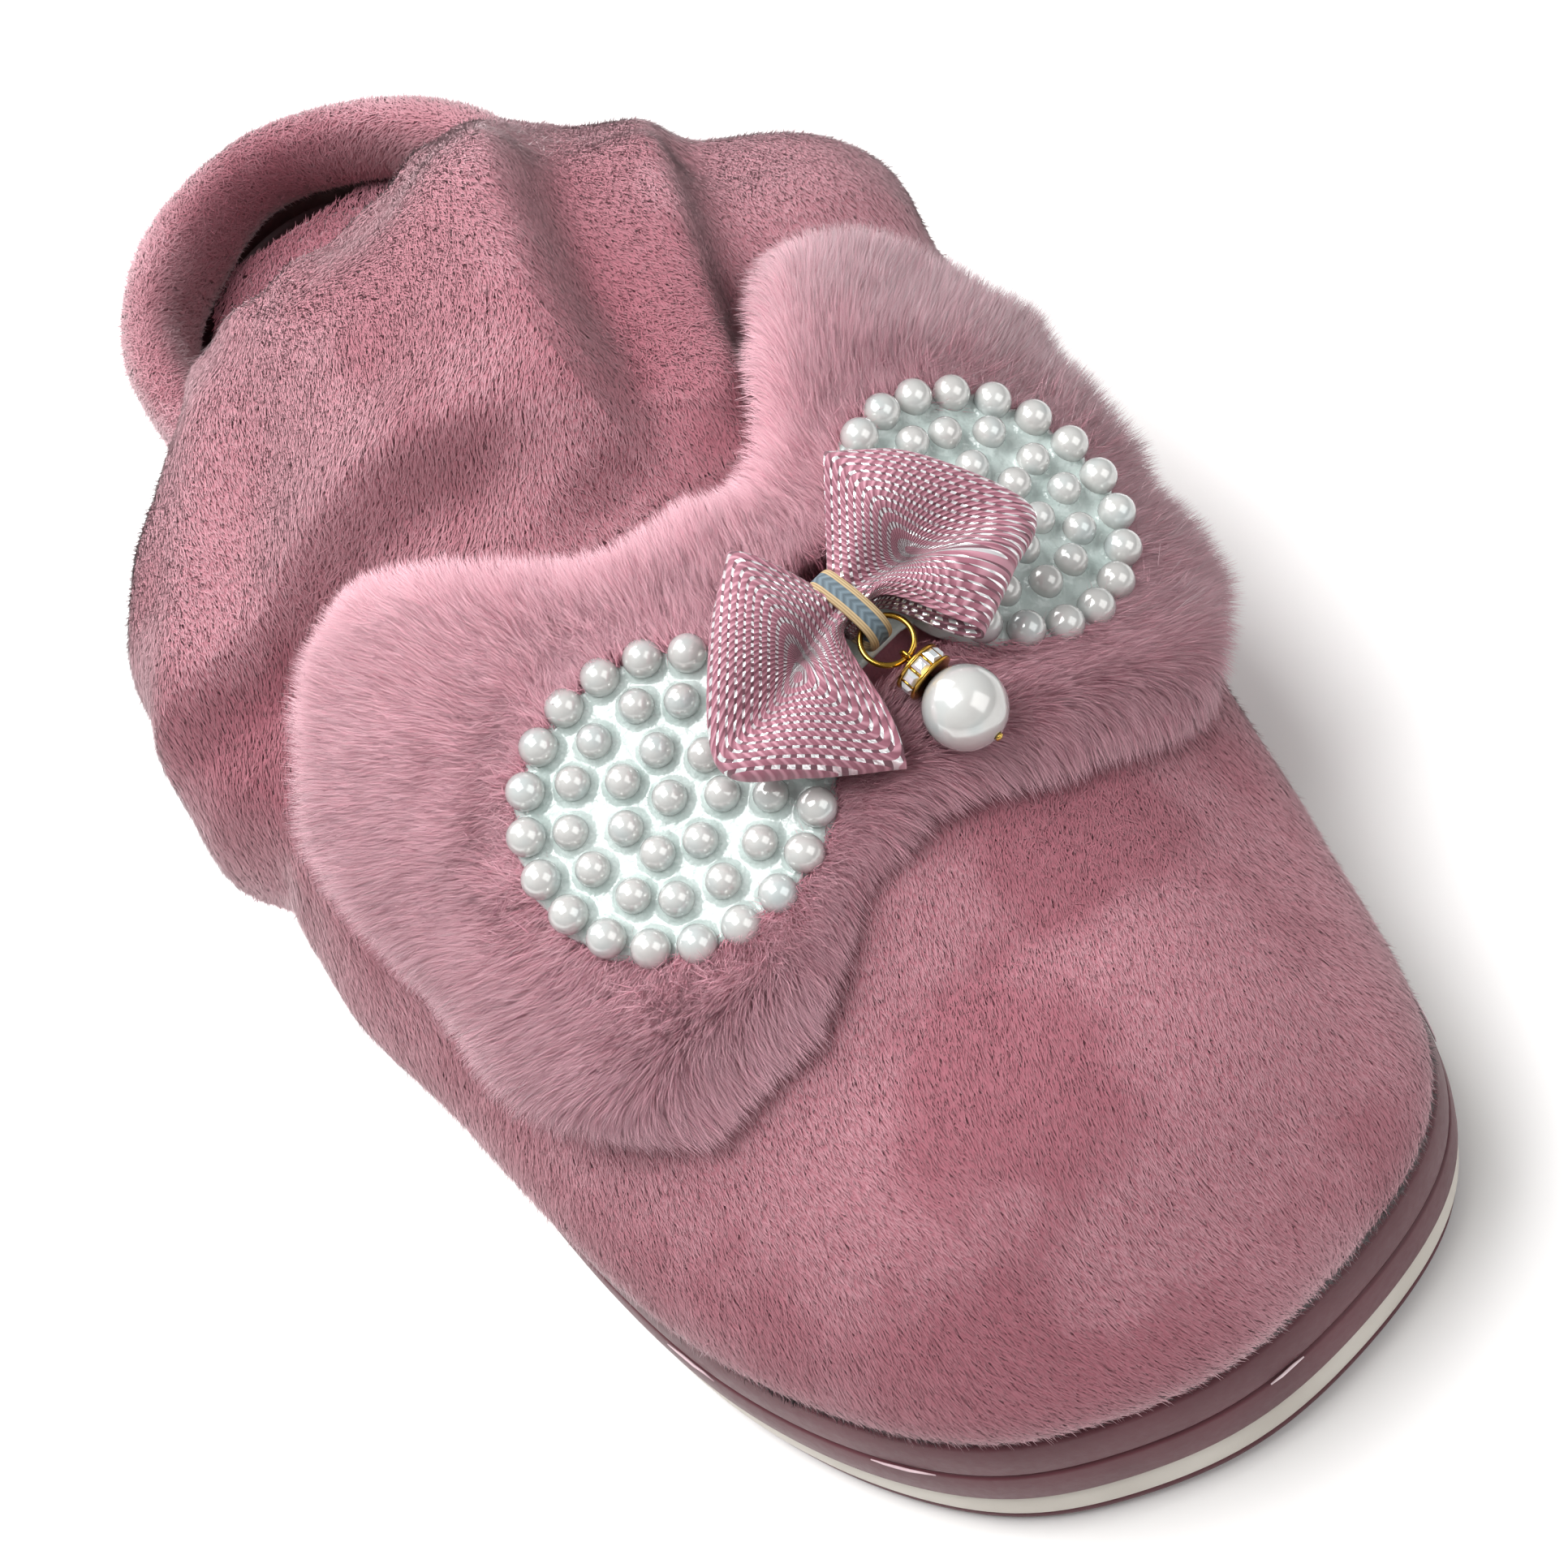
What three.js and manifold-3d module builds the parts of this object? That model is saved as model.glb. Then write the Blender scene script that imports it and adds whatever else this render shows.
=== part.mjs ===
// Open-backed plush house slipper for a right foot, with a fur bow, a pearl applique, a ribbon
// bow and a small pearl charm. Millimetres, +Z up, toe towards -Y, inner (big-toe) side at +X.
// The origin is on the floor under the middle of the sole.
import * as THREE from 'three';
import { mergeVertices } from 'three/addons/utils/BufferGeometryUtils.js';
import Module from 'manifold-3d';

const wasm = await Module();
wasm.setup();

// Sole unit
const SOLE_LENGTH = 262;
const BALL_WIDTH = 103;
const HEEL_WIDTH = 75;
const TREAD_THICKNESS = 2.4;
const MIDSOLE_THICKNESS = 6.2;
const FOXING_HEIGHT = 6.2;
const BINDING_HEIGHT = 6.2;
const BAND_THICKNESS = 2.0;
const BAND_LEAN = 1.2;
const BOARD_THICKNESS = 1.5;
const FOOTBED_THICKNESS = 8.0;
const FOOTBED_COVER_THICKNESS = 2.5;
const FOOTBED_TAPER = 1.3;

// Upper
const PLUSH_THICKNESS = 2.2;
const FOAM_THICKNESS = 2.4;
const LINING_THICKNESS = 1.6;
const TOE_HEIGHT = 48;
const BOW_HEIGHT = 58;
const INSTEP_HEIGHT = 77;
const TOPLINE_HEIGHT = 65;
const TOE_ROOM = 46;
const SEAM_Y = -18;
const TOPLINE_Y = 62;
const TOPLINE_INNER_Y = 94;
const TOPLINE_OUTER_Y = 75;
const INNER_PUFF = 26;
const OUTER_PUFF = 17;
const TOE_PUFF = 2.5;
const ELASTIC_WIDTH = 7;

// Heel rim
const RIM_HEIGHT = 14.5;
const RIM_WIDTH = 12;
const RIM_COVER_THICKNESS = 1.8;

// Fur bow and applique
const BOW_X = 15.8;
const BOW_Y = -46.5;
const BOW_YAW = 12;
const FUR_PILE = 8.5;
const FUR_EDGE = 3.5;
const BOW_BACKING = 0.8;
const WAIST_LIFT = 8;
const WING_LIFT = 4.6;
const WING_RADIUS = 18.8;
const LEFT_WING_REACH = 28;
const RIGHT_WING_REACH = 23;
const WING_BACK = 2.7;
const APPLIQUE_THICKNESS = 1.4;
const PEARL_DIAMETER = 5;

// Ribbon and charm
const RIBBON_WAIST = 7.2;
const RIBBON_WAIST_HEIGHT = 4.4;
const RIBBON_CROWN = 5;
const STRAP_WIDTH = 3.2;
const STRAP_THICKNESS = 0.9;
const RING_DIAMETER = 6.9;
const RING_WIRE = 0.7;
const PIN_WIRE = 0.5;
const EYE_DIAMETER = 1.7;
const RONDELLE_DIAMETER = 6.4;
const RONDELLE_LENGTH = 2.6;
const DROP_DIAMETER = 10;

// Clearances
const SEAT_GAP = 0.3;
const LAYER_GAP = 0.45;
const FACET_GAP = 0.4;
const BEAD_GAP = 0.15;
const BORE_GAP = 0.2;

const TREAD_TOP = TREAD_THICKNESS;
const MIDSOLE_BOTTOM = TREAD_TOP + SEAT_GAP;
const MIDSOLE_TOP = MIDSOLE_BOTTOM + MIDSOLE_THICKNESS;
const DECK = MIDSOLE_TOP + SEAT_GAP;
const BINDING_BOTTOM = DECK + FOXING_HEIGHT + SEAT_GAP;
const BAND_TOP = BINDING_BOTTOM + BINDING_HEIGHT;
const UPPER_INSET = BAND_THICKNESS + BAND_LEAN + SEAT_GAP + 0.2;
const WALL = PLUSH_THICKNESS + FOAM_THICKNESS + LINING_THICKNESS + 2 * LAYER_GAP;
const FOOTBED_INSET = UPPER_INSET + WALL + SEAT_GAP + 2 * FACET_GAP;
const PUFF_BOTTOM = BAND_TOP + 0.5;

const mix = (a, b, t) => a + (b - a) * t;
const clamp01 = (t) => Math.min(1, Math.max(0, t));
const smooth = (a, b, t) => {
  const s = clamp01((t - a) / (b - a));
  return s * s * (3 - 2 * s);
};

// Value at x of the smooth curve through [x, value] rows, flat beyond both ends.
function along(rows, x) {
  const last = rows.length - 1;
  if (x <= rows[0][0]) return rows[0][1];
  if (x >= rows[last][0]) return rows[last][1];
  const i = rows.findIndex((row) => row[0] > x) - 1;
  const [x0, y0] = rows[i];
  const [x1, y1] = rows[i + 1];
  const slope = (j) => {
    const a = rows[Math.max(0, j - 1)];
    const b = rows[Math.min(last, j + 1)];
    return (b[1] - a[1]) / (b[0] - a[0]);
  };
  const h = x1 - x0;
  const t = (x - x0) / h;
  const t2 = t * t;
  const t3 = t2 * t;
  return (
    y0 * (2 * t3 - 3 * t2 + 1) +
    h * slope(i) * (t3 - 2 * t2 + t) +
    y1 * (3 * t2 - 2 * t3) +
    h * slope(i + 1) * (t3 - t2)
  );
}

// ---- sole outline ----
// Each row: how far back from the toe (share of the length), then the inner and outer half
// widths as shares of the half width there, which goes from the ball's to the heel's.
const OUTLINE_ROWS = [
  [0.03, 0.68, 0.45],
  [0.075, 0.87, 0.69],
  [0.15, 0.95, 0.89],
  [0.25, 0.98, 1.0],
  [0.345, 0.98, 1.02],
  [0.46, 0.93, 0.97],
  [0.57, 0.94, 0.97],
  [0.69, 1.01, 1.03],
  [0.8, 1.0, 1.0],
  [0.9, 0.9, 0.9],
  [0.962, 0.6, 0.6],
];
const TOE_TIP_SHIFT = 3;

function soleOutline(count) {
  const place = (row, side) => {
    const half = mix(BALL_WIDTH, HEEL_WIDTH, smooth(0.4, 0.7, row[0])) / 2;
    return new THREE.Vector3(side * half * row[side > 0 ? 1 : 2], (row[0] - 0.5) * SOLE_LENGTH, 0);
  };
  const points = [
    new THREE.Vector3(TOE_TIP_SHIFT, -SOLE_LENGTH / 2, 0),
    ...OUTLINE_ROWS.map((row) => place(row, 1)),
    new THREE.Vector3(0, SOLE_LENGTH / 2, 0),
    ...OUTLINE_ROWS.map((row) => place(row, -1)).reverse(),
  ];
  const curve = new THREE.CatmullRomCurve3(points, true, 'centripetal');
  return curve.getSpacedPoints(count).slice(0, count);
}

// Outline moved inwards by a distance. The outline runs anticlockwise from the toe.
function insetOutline(points, inset) {
  const n = points.length;
  return points.map((p, i) => {
    const before = points[(i + n - 1) % n];
    const after = points[(i + 1) % n];
    const along2 = new THREE.Vector2(after.x - before.x, after.y - before.y).normalize();
    return new THREE.Vector3(p.x - along2.y * inset, p.y + along2.x * inset, 0);
  });
}

const OUTLINE = soleOutline(64);
const FINE_OUTLINE = soleOutline(720);

// Half width of the sole at y on one side (+1 inner, -1 outer).
function edgeX(y, side) {
  for (let i = 0; i < FINE_OUTLINE.length; i += 1) {
    const a = FINE_OUTLINE[i];
    const b = FINE_OUTLINE[(i + 1) % FINE_OUTLINE.length];
    const crosses = (a.y - y) * (b.y - y) <= 0 && a.y !== b.y;
    const x = mix(a.x, b.x, (y - a.y) / (b.y - a.y));
    if (crosses && Math.sign(x) === side) return Math.abs(x);
  }
  return 0;
}

// ---- mesh building ----
// Closed body from corner positions and triangles: corners that meet are merged, collapsed
// triangles dropped, and the faces turned outwards.
function body(positions, triangles) {
  let geometry = new THREE.BufferGeometry();
  geometry.setAttribute('position', new THREE.Float32BufferAttribute(positions, 3));
  geometry.setIndex(triangles);
  geometry = mergeVertices(geometry, 1e-3);
  const at = geometry.getAttribute('position');
  const kept = [];
  let volume = 0;
  const a = new THREE.Vector3();
  const b = new THREE.Vector3();
  const c = new THREE.Vector3();
  const index = geometry.getIndex().array;
  for (let i = 0; i < index.length; i += 3) {
    const [p, q, r] = [index[i], index[i + 1], index[i + 2]];
    if (p === q || q === r || r === p) continue;
    kept.push(p, q, r);
    a.fromBufferAttribute(at, p);
    b.fromBufferAttribute(at, q);
    c.fromBufferAttribute(at, r);
    volume += a.dot(b.cross(c));
  }
  if (volume < 0) kept.reverse();
  geometry.setIndex(kept);
  return geometry;
}

// Skin of some thickness over a grid of points: outer(i, j) and inner(i, j) for i = 0..nu and
// j = 0..nv, closed along its borders. When folded, the border j = nv closes on itself.
function skinBody(nu, nv, outer, inner, folded = false) {
  const positions = [];
  const triangles = [];
  const layer = (nu + 1) * (nv + 1);
  for (const surface of [outer, inner]) {
    for (let i = 0; i <= nu; i += 1) {
      for (let j = 0; j <= nv; j += 1) positions.push(...surface(i, j));
    }
  }
  const at = (i, j, side) => side * layer + i * (nv + 1) + j;
  const quad = (a, b, c, d) => triangles.push(a, b, c, a, c, d);
  for (let i = 0; i < nu; i += 1) {
    for (let j = 0; j < nv; j += 1) {
      quad(at(i, j, 0), at(i + 1, j, 0), at(i + 1, j + 1, 0), at(i, j + 1, 0));
      quad(at(i, j, 1), at(i, j + 1, 1), at(i + 1, j + 1, 1), at(i + 1, j, 1));
    }
  }
  for (let i = 0; i < nu; i += 1) {
    quad(at(i, 0, 0), at(i, 0, 1), at(i + 1, 0, 1), at(i + 1, 0, 0));
    if (!folded) quad(at(i, nv, 0), at(i + 1, nv, 0), at(i + 1, nv, 1), at(i, nv, 1));
  }
  for (let j = 0; j < nv; j += 1) {
    quad(at(0, j, 0), at(0, j + 1, 0), at(0, j + 1, 1), at(0, j, 1));
    quad(at(nu, j, 0), at(nu, j, 1), at(nu, j + 1, 1), at(nu, j + 1, 0));
  }
  return body(positions, triangles);
}

// Body swept round closed loops: point(i, j) for i round the path and j round the section.
function loopBody(nu, nv, point) {
  const positions = [];
  const triangles = [];
  for (let i = 0; i < nu; i += 1) {
    for (let j = 0; j < nv; j += 1) positions.push(...point(i, j));
  }
  const at = (i, j) => (i % nu) * nv + (j % nv);
  for (let i = 0; i < nu; i += 1) {
    for (let j = 0; j < nv; j += 1) {
      triangles.push(at(i, j), at(i + 1, j), at(i + 1, j + 1));
      triangles.push(at(i, j), at(i + 1, j + 1), at(i, j + 1));
    }
  }
  return body(positions, triangles);
}

// Body lofted through closed sections of equal count, with fanned end caps.
function loftBody(sections) {
  const count = sections[0].length;
  const positions = sections.flat(2);
  const triangles = [];
  for (let i = 0; i < sections.length - 1; i += 1) {
    for (let j = 0; j < count; j += 1) {
      const a = i * count + j;
      const b = i * count + ((j + 1) % count);
      triangles.push(a, b, b + count, a, b + count, a + count);
    }
  }
  const cap = (first, flip) => {
    const centre = positions.length / 3;
    const mid = [0, 1, 2].map((k) => {
      let sum = 0;
      for (let j = 0; j < count; j += 1) sum += positions[(first + j) * 3 + k];
      return sum / count;
    });
    positions.push(...mid);
    for (let j = 0; j < count; j += 1) {
      const a = first + j;
      const b = first + ((j + 1) % count);
      triangles.push(...(flip ? [centre, b, a] : [centre, a, b]));
    }
  };
  cap(0, true);
  cap((sections.length - 1) * count, false);
  return body(positions, triangles);
}

function toManifold(geometry) {
  let g = geometry.clone();
  g.deleteAttribute('normal');
  g.deleteAttribute('uv');
  g = mergeVertices(g, 1e-4);
  return new wasm.Manifold(
    new wasm.Mesh({
      numProp: 3,
      vertProperties: new Float32Array(g.getAttribute('position').array),
      triVerts: new Uint32Array(g.getIndex().array),
    }),
  );
}

function fromManifold(solid) {
  const mesh = solid.getMesh();
  const geometry = new THREE.BufferGeometry();
  geometry.setAttribute('position', new THREE.Float32BufferAttribute(mesh.vertProperties, 3));
  geometry.setIndex([...mesh.triVerts]);
  return geometry;
}

const placed = (geometry, matrix) => geometry.clone().applyMatrix4(matrix);

// ---- sole unit ----
function slab(inset, bottom, thickness) {
  const ring = insetOutline(OUTLINE, inset);
  const shape = new THREE.Shape(ring.map((p) => new THREE.Vector2(p.x, p.y)));
  const geometry = new THREE.ExtrudeGeometry(shape, { depth: thickness, bevelEnabled: false });
  return geometry.translate(0, 0, bottom);
}

// Band round the whole sole, as tall as given, leaning inwards between two insets.
function band(bottom, height, lowInset, highInset) {
  const section = [
    [lowInset, bottom],
    [highInset, bottom + height],
    [highInset + BAND_THICKNESS, bottom + height],
    [lowInset + BAND_THICKNESS, bottom],
  ];
  const rings = section.map(([inset]) => insetOutline(OUTLINE, inset));
  return loopBody(OUTLINE.length, section.length, (i, j) => [
    rings[j][i].x,
    rings[j][i].y,
    section[j][1],
  ]);
}

// ---- upper ----
const TOE_CENTRE_Y = -SOLE_LENGTH / 2 + TOE_ROOM;
const HEIGHT_ROWS = [
  [TOE_CENTRE_Y, TOE_HEIGHT],
  [BOW_Y, BOW_HEIGHT],
  [mix(BOW_Y, TOPLINE_Y, 0.29), mix(BOW_HEIGHT, INSTEP_HEIGHT, 0.68)],
  [mix(BOW_Y, TOPLINE_Y, 0.55), INSTEP_HEIGHT],
  [mix(BOW_Y, TOPLINE_Y, 0.78), INSTEP_HEIGHT - 1],
  [TOPLINE_Y, TOPLINE_HEIGHT],
];
const RIDGE_ROWS = [
  [TOE_CENTRE_Y, 2],
  [BOW_Y, 9],
  [SEAM_Y, 9],
  [mix(SEAM_Y, TOPLINE_Y, 0.65), 6],
  [TOPLINE_Y, 0],
];
const INNER_PUFF_ROWS = [
  [TOE_CENTRE_Y - 20, TOE_PUFF],
  [TOE_CENTRE_Y, mix(TOE_PUFF, INNER_PUFF, 0.08)],
  [BOW_Y, mix(TOE_PUFF, INNER_PUFF, 0.3)],
  [mix(BOW_Y, TOPLINE_INNER_Y, 0.26), mix(TOE_PUFF, INNER_PUFF, 0.62)],
  [mix(BOW_Y, TOPLINE_INNER_Y, 0.55), INNER_PUFF],
  [mix(BOW_Y, TOPLINE_INNER_Y, 0.78), INNER_PUFF * 0.55],
  [TOPLINE_INNER_Y, TOE_PUFF],
];
const OUTER_PUFF_ROWS = [
  [TOE_CENTRE_Y - 20, TOE_PUFF],
  [TOE_CENTRE_Y, mix(TOE_PUFF, OUTER_PUFF, 0.08)],
  [BOW_Y, mix(TOE_PUFF, OUTER_PUFF, 0.25)],
  [mix(BOW_Y, TOPLINE_OUTER_Y, 0.2), mix(TOE_PUFF, OUTER_PUFF, 0.72)],
  [mix(BOW_Y, TOPLINE_OUTER_Y, 0.65), OUTER_PUFF],
  [mix(BOW_Y, TOPLINE_OUTER_Y, 0.88), OUTER_PUFF * 0.55],
  [TOPLINE_OUTER_Y, TOE_PUFF],
];
const WALL_POWER = 0.71;
const TOPLINE_POWER = 1.2;

// Point on a rib of the upper: it climbs from the sole's edge (phi = 0) to the ridge
// (phi = 90 degrees). lift moves the point off the plush's outer face, outwards.
function rib(foot, crest, crestZ, puff, phi, lift) {
  const reach = new THREE.Vector2(foot[0] - crest[0], foot[1] - crest[1]);
  const width = reach.length() - UPPER_INSET + lift;
  reach.normalize();
  const rise = crestZ + lift - DECK;
  const z = DECK + rise * Math.sin(phi);
  const up = clamp01((z - PUFF_BOTTOM) / (crestZ + lift - PUFF_BOTTOM));
  const out = width * Math.cos(phi) ** WALL_POWER + puff * Math.sin(Math.PI * up ** 0.6);
  return [crest[0] + reach.x * out, crest[1] + reach.y * out, z];
}

// Rib behind the toe, where the crest is at crestY and the foot at footY.
function sideRib(crestY, footY, side, phi, lift) {
  const crestX = along(RIDGE_ROWS, crestY);
  const foot = [side * edgeX(footY, side), footY];
  const rows = side > 0 ? INNER_PUFF_ROWS : OUTER_PUFF_ROWS;
  const point = rib(
    [foot[0], 0],
    [crestX, 0],
    along(HEIGHT_ROWS, crestY),
    along(rows, footY),
    phi,
    lift,
  );
  const y = mix(crestY, footY, Math.cos(phi) ** TOPLINE_POWER);
  return [point[0], y, point[2]];
}

// Rib of the toe cap, on the outline point given.
function toeRib(foot, phi, lift) {
  const crest = [along(RIDGE_ROWS, TOE_CENTRE_Y), TOE_CENTRE_Y];
  const puffSide = foot.x > crest[0] ? INNER_PUFF_ROWS : OUTER_PUFF_ROWS;
  return rib([foot.x, foot.y], crest, TOE_HEIGHT, along(puffSide, foot.y), phi, lift);
}

// Climb angles of a rib, with one of them where the wall leaves the band.
function climbs(count, crestZ) {
  const free = Math.asin((PUFF_BOTTOM - DECK) / (crestZ - DECK));
  const list = [0, free];
  for (let j = 1; j <= count; j += 1) list.push(mix(free, Math.PI / 2, j / count));
  return list;
}

// Point of the upper at y (behind the toe centre), side and climb.
function upperPoint(y, side, phi, lift) {
  if (y <= SEAM_Y) return sideRib(y, y, side, phi, lift);
  const end = side > 0 ? TOPLINE_INNER_Y : TOPLINE_OUTER_Y;
  const spread = mix(TOPLINE_Y - SEAM_Y, end - SEAM_Y, Math.cos(phi) ** TOPLINE_POWER);
  const k = (y - SEAM_Y) / spread;
  return sideRib(mix(SEAM_Y, TOPLINE_Y, k), mix(SEAM_Y, end, k), side, phi, lift);
}

const VAMP_SIDE_STEPS = 6;
const VAMP_CLIMBS = 6;

function vampSkin(outerLift, thickness) {
  const backY = SEAM_Y - SEAT_GAP / 2;
  const toePoints = FINE_OUTLINE.filter((p) => p.y < TOE_CENTRE_Y);
  const right = toePoints.filter((p) => p.x >= TOE_TIP_SHIFT);
  const left = toePoints.filter((p) => p.x < TOE_TIP_SHIFT);
  const fan = [];
  for (let i = 6; i > 0; i -= 1) fan.push(right[Math.round(((i - 0.5) / 6) * (right.length - 1))]);
  fan.push(FINE_OUTLINE[0]);
  for (let i = 6; i > 0; i -= 1) fan.push(left[Math.round(((i - 0.5) / 6) * (left.length - 1))]);
  const stations = [];
  for (let i = 0; i <= VAMP_SIDE_STEPS; i += 1) {
    const y = mix(backY, TOE_CENTRE_Y, i / VAMP_SIDE_STEPS);
    stations.push({ side: 1, y });
  }
  fan.forEach((foot) => stations.push({ side: 0, foot }));
  for (let i = VAMP_SIDE_STEPS; i >= 0; i -= 1) {
    stations.push({ side: -1, y: mix(backY, TOE_CENTRE_Y, i / VAMP_SIDE_STEPS) });
  }
  const surface = (lift) => (i, j) => {
    const s = stations[i];
    const crestZ = s.side === 0 ? TOE_HEIGHT : along(HEIGHT_ROWS, s.y);
    const phi = climbs(VAMP_CLIMBS, crestZ)[j];
    return s.side === 0 ? toeRib(s.foot, phi, lift) : sideRib(s.y, s.y, s.side, phi, lift);
  };
  return skinBody(
    stations.length - 1,
    VAMP_CLIMBS + 1,
    surface(outerLift),
    surface(outerLift - thickness),
    true,
  );
}

const COLLAR_CLIMBS = 7;
const COLLAR_LENGTH = TOPLINE_Y - SEAM_Y;
const ELASTIC_END = 1 - 2 / COLLAR_LENGTH;
const ELASTIC_START = ELASTIC_END - ELASTIC_WIDTH / COLLAR_LENGTH;
const PADDING_END = ELASTIC_START - 1.5 / COLLAR_LENGTH;
const COLLAR_STATIONS = [0, 0.11, 0.22, 0.33, 0.45, 0.57, 0.68, 0.79];
COLLAR_STATIONS.push(PADDING_END, ELASTIC_START, ELASTIC_END, 1);

// Layer of the gathered collar between two of its stations, front to topline.
function collarSkin(from, to, outerLift, thickness, lowest = 0) {
  const stations = COLLAR_STATIONS.filter((k) => k >= from && k <= to);
  const startY = SEAM_Y + SEAT_GAP / 2;
  const top = COLLAR_CLIMBS + 1 - lowest;
  const surface = (lift) => (i, j) => {
    const crestY = mix(startY, TOPLINE_Y, stations[i]);
    const side = j <= top ? 1 : -1;
    const end = side > 0 ? TOPLINE_INNER_Y : TOPLINE_OUTER_Y;
    const list = climbs(COLLAR_CLIMBS, along(HEIGHT_ROWS, crestY)).slice(lowest);
    const phi = list[Math.min(j, 2 * top - j)];
    return sideRib(crestY, mix(startY, end, stations[i]), side, phi, lift);
  };
  return skinBody(
    stations.length - 1,
    2 * top,
    surface(outerLift),
    surface(outerLift - thickness),
  );
}

// ---- heel rim ----
const RIM_TOP = BAND_TOP + SEAT_GAP + RIM_HEIGHT;

// Section of the rim as [inset, height] corners, shrunk on all sides by skin.
function rimSection(skin) {
  const low = [UPPER_INSET, UPPER_INSET + WALL];
  const middle = UPPER_INSET + WALL / 2;
  const half = RIM_WIDTH / 2;
  const base = BAND_TOP + SEAT_GAP;
  const corners = [
    [low[0] + skin, DECK + skin],
    [low[0] + skin, base + skin],
    [middle - half * 0.9 + skin, base + skin + RIM_HEIGHT * 0.14],
    [middle - half + skin, base + RIM_HEIGHT * 0.5],
    [middle - half * 0.72 + skin, base + RIM_HEIGHT * 0.86 - skin],
    [middle, RIM_TOP - skin],
    [middle + half * 0.72 - skin, base + RIM_HEIGHT * 0.86 - skin],
    [middle + half - skin, base + RIM_HEIGHT * 0.5],
    [middle + half * 0.9 - skin, base + skin + RIM_HEIGHT * 0.14],
    [low[1] - skin, base + skin],
    [low[1] - skin, DECK + skin],
  ];
  return corners;
}

// Outline points from the inner end of the rim, round the heel, to its outer end.
function rimPath(trim) {
  const start = TOPLINE_INNER_Y + SEAT_GAP + trim;
  const end = TOPLINE_OUTER_Y + SEAT_GAP + trim;
  const kept = FINE_OUTLINE.map((p, i) => i).filter((i) => {
    const p = FINE_OUTLINE[i];
    return p.x > 0 ? p.y >= start : p.y >= end;
  });
  const steps = 19;
  const list = [];
  for (let i = 0; i <= steps; i += 1) {
    list.push(kept[Math.round((i / steps) * (kept.length - 1))]);
  }
  return list;
}

function rimRing(section, trim) {
  const rings = section.map(([inset]) => insetOutline(FINE_OUTLINE, inset));
  const front = (x) => (x > 0 ? TOPLINE_INNER_Y : TOPLINE_OUTER_Y) + SEAT_GAP + trim;
  return rimPath(trim).map((i) =>
    section.map((corner, j) => {
      const p = rings[j][i];
      return [p.x, Math.max(p.y, front(p.x)), corner[1]];
    }),
  );
}

function rimCover() {
  const layers = [rimRing(rimSection(0), 0), rimRing(rimSection(RIM_COVER_THICKNESS), 0)];
  const n = layers[0].length;
  const count = layers[0][0].length;
  const positions = layers.flat(3);
  const triangles = [];
  const at = (i, j, s) => s * n * count + i * count + (j % count);
  const quad = (a, b, c, d) => triangles.push(a, b, c, a, c, d);
  for (let j = 0; j < count; j += 1) {
    for (let i = 0; i < n - 1; i += 1) {
      quad(at(i, j, 0), at(i, j + 1, 0), at(i + 1, j + 1, 0), at(i + 1, j, 0));
      quad(at(i, j, 1), at(i + 1, j, 1), at(i + 1, j + 1, 1), at(i, j + 1, 1));
    }
    quad(at(0, j, 0), at(0, j, 1), at(0, j + 1, 1), at(0, j + 1, 0));
    quad(at(n - 1, j, 0), at(n - 1, j + 1, 0), at(n - 1, j + 1, 1), at(n - 1, j, 1));
  }
  return body(positions, triangles);
}

const rimFoam = () =>
  loftBody(rimRing(rimSection(RIM_COVER_THICKNESS + SEAT_GAP), 2));

// ---- fur bow ----
const BACKING_LIFT = SEAT_GAP + FACET_GAP;
const FUR_LIFT = BACKING_LIFT + BOW_BACKING + SEAT_GAP;
const WING_END_CLIMB = 27;

// Front and back edge of the bow at a share of its reach (0 at the waist, 1 at a wing's end).
function bowEdges(share) {
  const spread = smooth(0, 0.5, share);
  const front = mix(BOW_Y - 17, TOE_CENTRE_Y + 9, spread);
  const back = mix(BOW_Y + 25, BOW_Y + 62, smooth(0, 0.55, share));
  const middle = (front + back) / 2;
  const bend = clamp01((share - 0.72) / 0.28);
  const half = ((back - front) / 2) * Math.max(0.3, Math.sqrt(1 - bend * bend));
  return [middle - half, middle + half];
}

function bowPoint(share, side, across, lift, trim) {
  const phi = mix(90, WING_END_CLIMB + trim, share) * (Math.PI / 180);
  const [front, back] = bowEdges(share);
  return upperPoint(mix(front + trim, back - trim, across), side, phi, lift);
}

const BOW_STEPS = 11;
const BOW_ACROSS = 9;

function bowSkin(low, thick, trim) {
  const spot = (i, j, lift) => {
    const side = i < BOW_STEPS ? -1 : 1;
    const share = Math.abs(i - BOW_STEPS) / BOW_STEPS;
    const across = j / BOW_ACROSS;
    return bowPoint(share, side, across, lift(share, across), trim);
  };
  return skinBody(
    2 * BOW_STEPS,
    BOW_ACROSS,
    (i, j) => spot(i, j, (share, across) => low + thick(share, across)),
    (i, j) => spot(i, j, () => low),
  );
}

// Pile height over the bow: full in the middle, rounding down to the edges.
function pile(share, across) {
  const crown = Math.min(1, (4 * across * (1 - across)) ** 0.45);
  const end = Math.sqrt(clamp01((1 - share) / 0.25));
  return mix(FUR_EDGE, FUR_PILE, crown * end);
}

// Climb angle that puts the upper's point at x, for a given y and side.
function climbAt(x, y, lift) {
  const side = x >= upperPoint(y, 1, Math.PI / 2, lift)[0] ? 1 : -1;
  let low = 0.6;
  let high = Math.PI / 2;
  for (let i = 0; i < 40; i += 1) {
    const phi = (low + high) / 2;
    if (side * (upperPoint(y, side, phi, lift)[0] - x) > 0) low = phi;
    else high = phi;
  }
  return [side, (low + high) / 2];
}

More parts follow.
